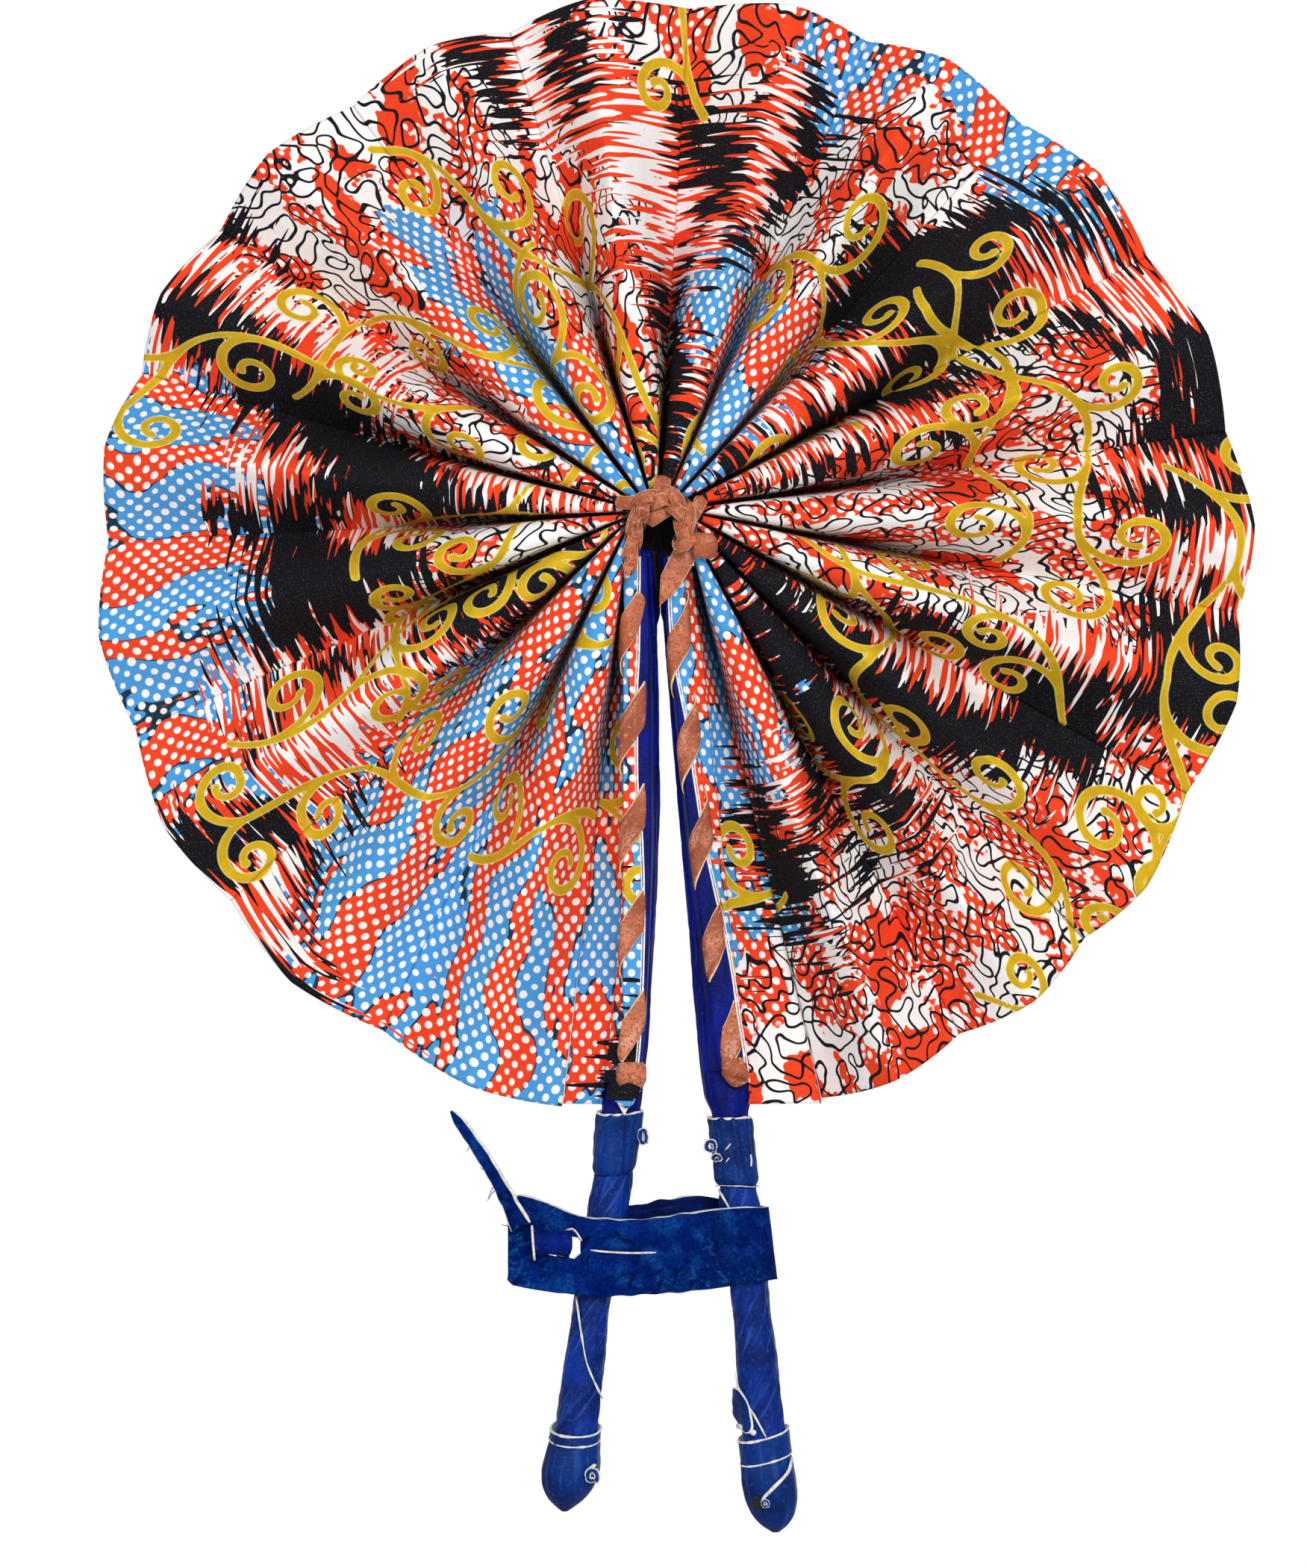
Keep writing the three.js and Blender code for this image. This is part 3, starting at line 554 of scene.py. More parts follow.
@dataclass(frozen=True)
class PrintedCotton:
    """Plain-weave cotton printed with streaked bands, dotted tongues, meandering lines and gold scrolls.

    Lengths are in centimetres of cloth, as the u, v are.
    """

    red: Colour = Colour(236, 66, 30)
    blue: Colour = Colour(72, 152, 216)
    white: Colour = Colour(242, 240, 238)
    black: Colour = Colour(14, 14, 20)
    outline: Colour = Colour(20, 50, 70)
    dot_pitch: float = 0.30
    dot_radius: float = 0.088
    line_pitch: float = 0.34
    line_half: float = 0.036
    streak_reach: float = 1.2
    thread: float = 0.039

    def _streaks(self, s: Shader, u: Socket, v: Socket) -> Socket:
        """How far each fine row of the print is pushed along the strip, which draws the spikes."""
        coarse = s.about(s.cloth(u, v, 0.35, 5.5), 2.4 * self.streak_reach)
        return s.add(coarse, s.about(s.cloth(u, v, 0.8, 12.0, 3.0), 1.5 * self.streak_reach))

    def _bands(self, s: Shader, u: Socket, v: Socket, push: Socket) -> Socket:
        """Black blocks whose ends break into long thin spikes over red and white streaks.

        Args:
            s: the material under construction.
            u: along the strip of cloth.
            v: from the hub to the rim.
            push: how far the rows are pushed along the strip.

        Returns:
            The colour.
        """
        along = s.add(u, push)
        ragged = s.about(s.cloth(along, v, 0.10, 9.0, 11.0), 0.22)
        blocks = s.add(s.cloth(along, v, 0.42, 0.17, 7.0, 1.0), ragged)
        pale = s.sub(blocks, s.about(s.cloth(u, v, 0.55, 8.0, 17.0), 1.0))
        streaks = s.mix(s.ramp(pale, 0.385, 0.397), self.white, self.red)
        return s.mix(s.ramp(blocks, 0.476, 0.486), streaks, self.black)

    def _dots(self, s: Shader, u: Socket, v: Socket) -> Socket:
        """A mask of round dots on a slanting grid, with small flecks between.

        Args:
            s: the material under construction.
            u: along the strip of cloth.
            v: from the hub to the rim.

        Returns:
            The mask.
        """
        wobble = s.noise(s.vector(u, v, 5.0), 0.9)
        turn = 1 / (math.sqrt(2) * self.dot_pitch)
        a = s.mul(s.add(s.add(u, v), s.mul(wobble, 0.5)), turn)
        b = s.mul(s.sub(s.add(u, s.mul(wobble, 0.35)), v), turn)
        size = s.noise(s.vector(s.math("FLOOR", a), s.math("FLOOR", b), 2.0), 0.77)
        spread = [s.math("POWER", s.sub(s.math("FRACT", value), 0.5), 2.0) for value in (a, b)]
        reach = s.mul(s.math("SQRT", s.add(*spread)), self.dot_pitch)
        radius = s.add(self.dot_radius - 0.03, s.mul(size, 0.06))
        return s.ramp(s.sub(reach, radius), 0.012, -0.012)

    def _tongues(self, s: Shader, u: Socket, v: Socket, dots: Socket) -> Socket:
        """Blue tongues on red that run from the hub to the rim, thinly outlined, dotted white.

        Args:
            s: the material under construction.
            u: along the strip of cloth.
            v: from the hub to the rim.
            dots: the dots' mask.

        Returns:
            The colour.
        """
        across = s.add(s.mul(u, 0.95), s.mul(s.cloth(u, v, 0.5, 0.5, 4.0), 1.6))
        shape = s.add(s.cloth(across, v, 1.0, 0.22, 2.0, 1.0), s.about(s.cloth(u, v, 2.4, 0.8, 9.0), 0.16))
        ground = s.mix(s.ramp(shape, 0.497, 0.503), self.red, self.blue)
        rim = s.ramp(s.math("ABSOLUTE", s.sub(shape, 0.5)), 0.012, 0.007)
        return s.mix(dots, s.mix(rim, ground, self.outline), self.white)

    def _meanders(self, s: Shader, u: Socket, v: Socket, dots: Socket) -> Socket:
        """Black lines of even width that wander over white and dotted red ground.

        The lines are where a wave of one length and every direction crosses its middle. Its distance
        there is its height over its slope, and the slope comes from the wave a short step away along u
        and along v.

        Args:
            s: the material under construction.
            u: along the strip of cloth.
            v: from the hub to the rim.
            dots: the dots' mask.

        Returns:
            The colour.
        """
        at_u = s.add(u, s.mul(s.noise(s.vector(u, v, 1.0), 0.9), 0.8))
        at_v = s.add(v, s.mul(s.noise(s.vector(u, v, 6.0), 0.9), 0.8))
        step = 0.02
        height = self._wave(s, at_u, at_v)
        rises = []
        for du, dv in ((step, 0.0), (0.0, step)):
            rise = s.sub(self._wave(s, s.add(at_u, du), s.add(at_v, dv)), height)
            rises.append(s.math("POWER", s.math("DIVIDE", rise, step), 2.0))
        slope = s.math("MAXIMUM", s.math("SQRT", s.add(*rises)), 0.45)
        away = s.math("DIVIDE", s.math("ABSOLUTE", height), slope)
        line = s.ramp(away, self.line_half + 0.008, self.line_half - 0.008)
        edge = s.about(s.noise(s.vector(u, v, 12.0), 5.0), 0.14)
        patch = s.add(s.cloth(u, v, 0.9, 0.5, 8.0, 1.0), edge)
        dotted = s.ramp(s.noise(s.vector(u, v, 22.0), 0.7), 0.44, 0.5)
        red = s.mix(s.mul(dots, dotted), self.red, self.white)
        return s.mix(line, s.mix(s.ramp(patch, 0.505, 0.515), red, self.white), self.black)

    def _wave(self, s: Shader, u: Socket, v: Socket) -> Socket:
        """A wave of one length that runs every way, about 0."""
        settings = {"Scale": 1.0, "Frequency": 0.5 / self.line_pitch, "Anisotropy": 0.0}
        return s.sub(s.node("TexGabor", {"Vector": s.vector(u, v), **settings}, "Value"), 0.5)

    def _weave(self, s: Shader, u: Socket, v: Socket) -> Socket:
        """The cloth's height: plain-weave threads with uneven slubs both ways.

        Args:
            s: the material under construction.
            u: along the strip of cloth.
            v: from the hub to the rim.

        Returns:
            The height, from 0 to about 1.
        """
        pace = 2 * math.pi / self.thread
        threads = s.mul(*(s.math("SINE", s.mul(way, pace)) for way in (u, v)))
        slubs = s.add(s.cloth(u, v, 26.0, 4.0, 0.0, 1.0), s.cloth(u, v, 4.0, 26.0, 0.0, 1.0))
        return s.add(s.mul(s.add(s.mul(threads, 0.5), 0.5), 0.4), s.mul(slubs, 0.45))

    def material(self) -> bpy.types.Material:
        """The finished material.

        Reads the cloth's u, v and its numbers "bands", "tongues" and "scroll": how far a point lies
        inside the streaked bands, how far inside the dotted ground rather than the meanders, and the
        distance in millimetres to the edge of a gold line. "shade" is painted shade that darkens the
        gathered folds.

        Returns:
            The material.
        """
        s = Shader("printed cotton")
        u, v = s.uv()
        push = self._streaks(s, u, v)
        dots = self._dots(s, u, v)
        ragged = s.about(s.noise(s.vector(u, v, 14.0), 2.2, 1.0), 9.0)
        inside = s.ramp(s.add(s.attribute("tongues"), ragged), -0.15, 0.15)
        ground = s.mix(inside, self._meanders(s, u, v, dots), self._tongues(s, u, v, dots))
        spiked = s.ramp(s.add(s.attribute("bands"), s.mul(push, 11.0)), -0.15, 0.15)
        colour = s.mix(spiked, ground, self._bands(s, u, v, push))
        scroll = s.attribute("scroll")
        colour = s.tint(colour, scroll, 0.45, 0.1, 0.75, Colour(240, 225, 120))
        stroke = s.noise(s.vector(u, v, 20.0), 3.0, 2.0)
        gold = s.mix(stroke, Colour(186, 148, 12), Colour(222, 182, 34))
        colour = s.mix(s.ramp(scroll, 0.12, -0.12), colour, gold)
        weave = self._weave(s, u, v)
        # painted shade: the cloth darkens a little between the threads, where the weave is low
        colour = s.tint(colour, weave, 0.75, 0.35, 0.12, Colour(0, 0, 0))
        colour = s.tint(colour, s.cloth(u, v, 30.0, 30.0), 0.68, 0.8, 0.10, Colour(230, 225, 220))
        wrinkles = s.noise(s.vector(u, v, 30.0), 0.35, 3.0)
        normal = s.bump(s.add(weave, s.mul(wrinkles, 2.0)), 0.35, 0.00012)
        # painted shade: the colour goes towards near-black where the mesh's "shade" is high
        return s.finish(s.mix(s.attribute("shade"), colour, Colour(8, 5, 8)), 0.85, normal, 0.12)


@dataclass(frozen=True)
class Leather:
    """Grained leather with creases and a pale cut edge.

    The grain is a fine cell pattern, and the creases run along the piece's own u. The light colour is
    painted highlight along the crease ridges and in fine specks.
    """

    name: str
    dark: Colour
    main: Colour
    light: Colour
    cut: Colour = Colour(224, 222, 216)
    grain_mm: float = 0.6
    crease: float = 0.5
    roughness: float = 0.45
    speckle: float = 0.0
    twist: float = 0.0
    gloss: float = 0.09

    def material(self) -> bpy.types.Material:
        """The finished material. It reads the mesh's number "edge", which is 1 on a cut edge, and its
        number "shade", painted shade that darkens the colour.

        Returns:
            The material.
        """
        s = Shader(self.name)
        place = s.place()
        u, v = s.uv()
        grain = {"Vector": place, "Scale": 1000 / self.grain_mm}
        cells = s.node("TexVoronoi", grain, "Distance", feature="F1")
        blotch = s.noise(place, 90.0, 3.0)
        fine = s.noise(place, 900.0, 2.0)
        folds = s.cloth(u, s.add(v, s.mul(u, self.twist)), 0.9, 8.0, 0.0, 3.0, 0.4)
        colour = s.mix(s.ramp(blotch, 0.35, 0.68), self.dark, self.main)
        # painted highlights: the light colour along the crease ridges and in fine specks
        colour = s.tint(colour, folds, 0.52, 0.72, self.crease, self.light)
        colour = s.tint(colour, fine, 0.55, 0.75, 0.35, self.light)
        colour = s.tint(colour, s.noise(place, 1500.0, 1.0), 0.50, 0.64, self.speckle, self.dark)
        colour = s.cut_edge(colour, s.noise(place, 700.0, 1.0), self.cut)
        # painted shade: the colour goes towards a dark brown where the mesh's "shade" is high
        colour = s.mix(s.attribute("shade"), colour, Colour(30, 12, 8))
        height = s.add(s.mul(cells, 0.6), s.add(s.mul(folds, 1.6 * self.crease), s.mul(fine, 0.35)))
        rough = s.add(self.roughness - 0.1, s.mul(blotch, 0.25))
        return s.finish(colour, rough, s.bump(height, 0.5, 0.00022), self.gloss)


@dataclass(frozen=True)
class Suede:
    """The strap's flesh side: napped, mottled blue with teal rubbed patches and a pale cut edge."""

    deep: Colour = Colour(0, 10, 58)
    dark: Colour = Colour(0, 24, 92)
    main: Colour = Colour(6, 42, 124)
    teal: Colour = Colour(16, 72, 146)
    flecks: Colour = Colour(24, 90, 158)
    scuffs: Colour = Colour(0, 6, 40)
    cut: Colour = Colour(226, 214, 196)

    def material(self) -> bpy.types.Material:
        """The finished material.

        Returns:
            The material.
        """
        s = Shader("suede")
        place = s.place()
        blotch = s.noise(place, 110.0, 4.0)
        rub = s.noise(place, 190.0, 6.0)
        nap = s.noise(place, 1700.0, 4.0)
        colour = s.mix(s.ramp(blotch, 0.35, 0.65), self.dark, self.main)
        colour = s.tint(colour, rub, 0.47, 0.66, 0.6, self.teal)
        colour = s.tint(colour, s.noise(place, 55.0, 3.0), 0.50, 0.62, 0.6, self.deep)
        colour = s.tint(colour, nap, 0.42, 0.62, 0.5, self.deep)
        worn = s.ramp(s.noise(place, 70.0, 2.0), 0.48, 0.60)
        rubbed = s.mul(s.ramp(s.noise(place, 800.0, 5.0), 0.56, 0.64), worn)
        colour = s.mix(s.mul(rubbed, 0.4), colour, self.flecks)
        colour = s.tint(colour, s.noise(place, 260.0, 5.0, 1.0), 0.57, 0.66, 0.7, self.scuffs)
        height = s.add(s.mul(nap, 0.9), s.add(s.mul(rub, 2.2), s.mul(blotch, 2.0)))
        return s.finish(s.cut_edge(colour, nap, self.cut), 0.95, s.bump(height, 0.6, 0.0004), 0.03)


@dataclass(frozen=True)
class Plain:
    """A plain finish with a little mottling and fibre, for cut edges, wood and the near-black of painted
    shade.
    """

    name: str
    main: Colour
    other: Colour
    roughness: float = 0.9
    scale: float = 900.0

    def material(self) -> bpy.types.Material:
        """The finished material.

        Returns:
            The material.
        """
        s = Shader(self.name)
        mottle = s.noise(s.place(), self.scale, 3.0)
        colour = s.mix(s.ramp(mottle, 0.4, 0.65), self.main, self.other)
        return s.finish(colour, self.roughness, s.bump(mottle, 0.4, 0.0001))


class Finish(Enum):
    """The fan's finishes by name."""

    PRINT = PrintedCotton()
    BLUE = Leather("grip leather", Colour(0, 26, 90), Colour(4, 46, 138), Colour(44, 84, 176),
                   grain_mm=0.55, crease=0.6, roughness=0.42, twist=0.45)
    WRAP = Leather("wrapped leather", Colour(0, 26, 82), Colour(3, 44, 116), Colour(34, 82, 160),
                   crease=0.35, roughness=0.40)
    BLUE_UPPER = Leather("upper leather", Colour(0, 8, 78), Colour(2, 18, 118), Colour(24, 44, 152),
                         Colour(222, 220, 214), grain_mm=0.5, crease=0.35, roughness=0.5)
    BROWN = Leather("lace leather", Colour(144, 72, 46), Colour(196, 116, 82), Colour(232, 180, 154),
                    Colour(222, 190, 152), grain_mm=0.45, roughness=0.40, speckle=0.8, gloss=0.16)
    ROLL = Leather("rolled leather", Colour(0, 8, 58), Colour(0, 28, 118), Colour(30, 80, 184),
                   grain_mm=0.5, crease=0.4, roughness=0.5, gloss=0.05)
    LINING = Leather("strap lining", Colour(0, 12, 58), Colour(2, 26, 90), Colour(14, 46, 116),
                     grain_mm=0.5, crease=0.4, roughness=0.6, gloss=0.04)
    SUEDE = Suede()
    CUT = Plain("cut leather edge", Colour(228, 224, 214), Colour(196, 192, 184))
    RAW = Plain("raw cloth edge", Colour(238, 236, 234), Colour(220, 219, 217))
    # painted shade: near-black, for sheets and strips put where the fan lies in deep shade
    DARK = Plain("shaded lining", Colour(4, 4, 7), Colour(10, 9, 14))
    WOOD = Plain("plain wood", Colour(196, 158, 110), Colour(160, 120, 76), 0.7, 60.0)

    def material(self) -> bpy.types.Material:
        """The finish's material, made once.

        Returns:
            The material.
        """
        name = f"{self.name.lower()}_finish"
        if name not in bpy.data.materials:
            made = self.value.material()
            made.name = name
        return bpy.data.materials[name]


def dress(surface: Surface, name: str, finish: Finish, body: str, slot: str, *nodes: str,
          thickness: float = 0.0) -> bpy.types.Object:
    """Args:
        surface: its surface, closed unless it has a thickness.
        name: its name.
        finish: its finish.
        body: the body that carries it.
        slot: the slot that its look belongs to; not used.
        nodes: the nodes that it stands for.
        thickness: a sheet's thickness in millimetres, which the Solidify modifier gives it.

    Returns:
        The piece.
    """
    made = surface.build(name)
    if thickness:
        solid = made.modifiers.new("thickness", "SOLIDIFY")
        solid.thickness = thickness * MM
        solid.offset = 0.0
    else:
        turn_outwards(made.data)
    made.data.materials.append(finish.material())
    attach(made, body)
    if nodes:
        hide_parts(*nodes)
    log.info("%s rides on %s, %d faces", made.name, body, len(made.data.polygons))
    return made


# The leaf

@dataclass
class FoldLine:
    """A ridge or a valley: a straight line from the gathered ring to the rim, in x and z from the hub."""

    inner: Array
    rim: Array

    def at(self, share: Array) -> Array:
        """Points at shares of the way from the ring to the rim."""
        share = np.asarray(share, float)[..., None]
        return self.inner + (self.rim - self.inner) * share


@dataclass
class Scrolls:
    """Gold scroll work in the plane of the cloth: long swaying stems with spirals, in millimetres of cloth.

    A line is drawn by its curvature: its heading is the running sum of the curvature, and its points the
    running sum of the heading. A stem's curvature is a slow sine. A spiral leaves a stem along its
    heading, and its curvature grows with the square of the way along it.
    """

    length: float
    height: float
    stems: int = 23
    stem_length: float = 135.0
    spacing: float = 24.0
    clearance: float = 3.4
    step: float = 0.4
    furthest: float = 12.0
    seed: int = 8

    def _line(self, start: Array, heading: float, curvature: Array) -> tuple[Array, Array]:
        """Points and headings of a line from its start, its first heading and its curvature along it.

        Args:
            start: its first point.
            heading: its first heading.
            curvature: the curvature at each step.

        Returns:
            Points and headings.
        """
        turn = heading + np.cumsum(curvature) * self.step
        move = np.stack([np.cos(turn), np.sin(turn)], axis=-1) * self.step
        return start + np.cumsum(move, axis=0), turn

    def _spiral(self, start: Array, heading: float, hand: int, size: float) -> tuple[Array, Array]:
        """A spiral that leaves a stem and winds in, about one and a half turns, with its half widths.

        Args:
            start: where it leaves the stem.
            heading: which way it leaves.
            hand: 1 or -1, the way it winds.
            size: the radius that it starts with.

        Returns:
            Points and half widths.
        """
        t = np.linspace(0, 1, int(4.1 * size / self.step))
        curvature = hand * (1 / size + (3.9 / size - 1 / size) * t ** 2)
        points, _ = self._line(start, heading, curvature)
        wide = 0.58 + 0.52 * np.sin(math.pi * np.clip(t * 0.9 + 0.06, 0, 1)) ** 0.8
        return points, wide + 0.35 * smoothstep(0.97, 1.0, t)

    def strokes(self) -> tuple[Array, Array]:
        """All the strokes as points with a half width each.

        Returns:
            Points as rows of u, v, and their half widths.
        """
        rng = np.random.default_rng(self.seed)
        points, widths = [], []
        for k in range(self.stems):
            start = np.array([(k + rng.uniform(0.1, 0.9)) / self.stems * self.length,
                              (0.16 + 0.8 * ((k * 0.618) % 1.0)) * self.height])
            steps = int(self.stem_length * rng.uniform(0.75, 1.15) / self.step)
            t = np.arange(steps) * self.step
            sway = np.sin(2 * math.pi * t / rng.uniform(75, 110) + rng.uniform(0, 6.28)) / 24.0
            heading = rng.uniform(-0.9, 0.9) + (math.pi if k % 2 else 0.0)
            stem, turn = self._line(start, heading, sway)
            points.append(stem)
            widths.append(0.64 + 0.34 * np.sin(t / 13.0 + k) ** 2)
            places = [int(place * self.spacing / self.step)
                      for place in np.arange(0.4, steps * self.step / self.spacing)] + [steps - 1]
            for n, at in enumerate(places):
                at = min(at, steps - 1)
                size = rng.uniform(9.5, 15.0)
                first = 1 if (n + k) % 2 else -1
                for hand, share in ((first, 1.0), (-first, 1.0), (first, 0.72), (-first, 0.72)):
                    curl, wide = self._spiral(stem[at], turn[at], hand, size * share)
                    if self._clear(curl, points):
                        points.append(curl)
                        widths.append(wide)
                        break
        return np.vstack(points), np.concatenate(widths)

    def _clear(self, curl: Array, points: list[Array]) -> bool:
        """Whether a spiral, past its root, keeps its clearance from every stroke so far.

        Args:
            curl: the points of the spiral.
            points: the strokes so far.

        Returns:
            True if it keeps clear.
        """
        body = curl[len(curl) // 3::4]
        others = np.vstack([line[::3] for line in points])
        gap = np.hypot(body[:, None, 0] - others[None, :, 0], body[:, None, 1] - others[None, :, 1])
        return bool(gap.min() > self.clearance)

    def distance(self, u: Array, v: Array) -> Array:
        """The distance from points of cloth to the nearest stroke's edge, in millimetres.

        Args:
            u: along the strip, in millimetres.
            v: from the hub to the rim, in millimetres.

        Returns:
            The distances, below 0 inside a stroke.
        """
        points, widths = self.strokes()
        flat = np.stack([u.ravel(), v.ravel()], axis=-1)
        far = self.furthest
        close = (points[:, 0] > flat[:, 0].min() - far) & (points[:, 0] < flat[:, 0].max() + far)
        points, widths = points[close], widths[close]
        best = np.full(len(flat), far)
        for chunk in np.array_split(np.arange(len(points)), len(points) // 400 + 1) if len(points) else ():
            near = points[None, chunk]
            gap = np.hypot(flat[:, None, 0] - near[..., 0], flat[:, None, 1] - near[..., 1])
            best = np.minimum(best, (gap - widths[None, chunk]).min(axis=1))
        return best.reshape(u.shape)


@dataclass
class PrintLayout:
    """Where each kind of ground lies, as patches.

    A patch is an angle clockwise from straight down and a share of the radius.
    """

    bands: Pairs = ((48, 0.98), (58, 0.7), (66, 0.42), (84, 0.55), (99, 0.66), (100, 0.38), (112, 0.95),
                    (114, 0.7), (163, 0.98), (176, 0.8), (182, 0.55), (190, 0.3), (196, 0.72),
                    (226, 0.62), (236, 0.8), (243, 0.45), (247, 0.98), (268, 0.95), (285, 0.92),
                    (295, 0.75), (304, 0.5), (322, 0.45), (0, 1.07), (335, 0.5), (343, 0.62))
    tongues: Pairs = ((14, 0.85), (20, 0.45), (33, 0.8), (40, 0.5), (66, 0.98), (82, 0.88), (97, 0.92),
                      (141, 0.6), (146, 0.35), (200, 0.4), (206, 0.98), (214, 0.35), (222, 1.0),
                      (340, 0.3), (352, 0.22), (352, 0.42), (352, 0.68))
    meanders: Pairs = ((80, 0.28), (118, 0.42), (127, 0.75), (136, 0.95), (150, 0.86), (162, 0.62),
                       (168, 0.4), (184, 0.98), (208, 0.62), (216, 0.85), (255, 0.7), (264, 0.42),
                       (276, 0.65), (283, 0.35), (305, 0.98), (314, 0.75), (328, 0.85), (334, 0.6),
                       (345, 0.9))

    def fields(self, u: Array, v: Array,
               place: Callable[[float, float], tuple[float, float]]) -> dict[str, Array]:
        """How far each point lies inside the bands, and inside the tongues rather than the meanders.

        Each kind's distance is that to its nearest patch centre, and a field is the others' distance less
        its own.

        Args:
            u: along the strip, in millimetres.
            v: from the hub to the rim, in millimetres.
            place: turns an angle and a share into u, v.

        Returns:
            The fields "bands" and "tongues", in millimetres.
        """
        warp_u = u + 7 * lattice_noise(u / 21, v / 21, 3)
        warp_v = v + 7 * lattice_noise(u / 19 + 40, v / 23, 4)
        nearest = []
        for patches in (self.bands, self.tongues, self.meanders):
            places = [place(angle, share) for angle, share in patches]
            away = [np.hypot((warp_u - pu) * 0.8, warp_v - pv) for pu, pv in places]
            nearest.append(np.minimum.reduce(away))
        bands, tongues, meanders = nearest
        return {"bands": (np.minimum(tongues, meanders) - bands) / 2, "tongues": (meanders - tongues) / 2}


@dataclass
class Leaf:
    """The long strip of printed cotton in box pleats that turn right round the hub."""

    panel: float = 25.5
    slack: float = 0.97
    rim_centre: tuple[float, float] = (4.6, -10.3)
    rim_half: tuple[float, float] = (139.5, 135.5)
    scallop: float = 3.0
    edge_scallop: float = 1.0
    gather_centre: tuple[float, float] = (0.8, -2.0)
    gather_half: tuple[float, float] = (9.0, 7.0)
    valley_draw: float = 3.0
    gather_degrees: tuple[float, float] = (55.0, 305.0)
    gather_dip: float = 3.2
    dip_share: float = 0.03
    ridge_degrees: tuple[float, ...] = (18, 38, 57.5, 77.5, 97, 114, 133, 154, 172.5, 195, 213, 232.5, 252,
                                        271, 288, 307, 322, 337)
    edge_valley_degrees: tuple[float, float] = (9.0, 344.0)
    cloth: float = 0.42
    least_depth: float = 6.0
    tube_fades: tuple[float, float] = (0.10, 0.72)
    rows: int = 118
    columns: int = 29
    height: float = 137.0
    hems_reach: tuple[float, float] = (52.0, 42.0)
    fold_joint: str = "fan_fold"
    folded_share: float = 0.035

    def __post_init__(self) -> None:
        """Works out the ridges, the valleys and the print's places."""
        count = len(self.ridge_degrees)
        ridge = np.array(self.ridge_degrees, float)
        first, last = self.edge_valley_degrees
        valley = np.concatenate([[first], (ridge[1:] + ridge[:-1]) / 2, [last]])
        self.ridges = [self._line(i + 0.5, a, 0.0, 0.0) for i, a in enumerate(ridge)]
        short = np.full(len(valley), self.scallop)
        short[[0, -1]] = self.edge_scallop
        self.valleys = [self._line(i, a, short[i], self.valley_draw) for i, a in enumerate(valley)]
        self.strip_length = 2 * self.panel * count
        self.angles = (np.concatenate([[0, first], ridge, [last, 360]]),
                       np.concatenate([[-self.hems_reach[0], 0], (np.arange(count) + 0.5) * 2 * self.panel,
                                       [self.strip_length, self.strip_length + self.hems_reach[1]]]))
        self.scrolls = Scrolls(self.strip_length, self.height)
        self.layout = PrintLayout()

    def _rim(self, degrees: float, short: float) -> Array:
        """Where a line from the hub at an angle meets the rim's ellipse, short of it by an amount.

        Args:
            degrees: the line's angle, clockwise from straight down.
            short: the amount.

        Returns:
            The point in x and z.
        """
        turn = math.radians(degrees)
        way = np.array([-math.sin(turn), -math.cos(turn)])
        half = np.array(self.rim_half)
        u, w = way / half, np.array(self.rim_centre) / half
        a, b, c = u @ u, u @ w, w @ w - 1
        return way * ((b + math.sqrt(b * b - a * c)) / a - short)

    def _line(self, place: float, degrees: float, short: float, draw: float) -> FoldLine:
        """A fold's line. Place counts pleats from the left edge.

        Args:
            place: where it is in the strip, in pleats.
            degrees: its angle at the rim.
            short: how far it ends inside the rim.
            draw: how far it starts inside the gathered ring.

        Returns:
            The line.
        """
        first, last = self.gather_degrees
        turn = math.radians(first + (last - first) * place / len(self.ridge_degrees))
        ring = np.array([math.sin(turn) * self.gather_half[0], math.cos(turn) * self.gather_half[1]])
        start = np.array(self.gather_centre) - ring
        rim = self._rim(degrees, short)
        return FoldLine(start - unit(rim - start) * draw, rim)

    def cloth_place(self, angle: float, share: float) -> tuple[float, float]:
        """Cloth u, v for an angle clockwise from straight down and a share of the radius."""
        return float(np.interp(angle, *self.angles)), share * self.height

    def depth(self, apart: Array) -> Array:
        """Front to back depth where a ridge and its valley stand this far apart, from the panel's width."""
        flat = np.sqrt(np.maximum(self.panel ** 2 - apart ** 2, 1.0))
        return np.maximum(self.slack * flat, self.least_depth)

    def _tube(self, a: Array, share: Array, half: Array) -> tuple[Array, Array, Array]:
        """The ridge as a round tube, as it is where the cloth is gathered near the hub.

        Across the cloth from the ridge the tube is a quarter circle that is half a pleat wide, and then a
        wall straight back to the valley.

        Args:
            a: share of the panel's width from the ridge.
            share: share of the way from the ring to the rim.
            half: half the pleat's width in the fan's plane.

        Returns:
            Share of the way across, front to back swing from -1 to 1, and how much of the tube to take.
        """
        turn = np.minimum(a * self.panel / half, math.pi / 2)
        deep = half * (1 - np.cos(turn)) + np.maximum(a * self.panel - half * math.pi / 2, 0.0)
        whole = half + np.maximum(self.panel - half * math.pi / 2, 0.0)
        across = 0.8 * np.sin(turn) + 0.2 * a
        return across, 2 * deep / whole - 1, 1 - smoothstep(self.tube_fades[0], self.tube_fades[1], share)

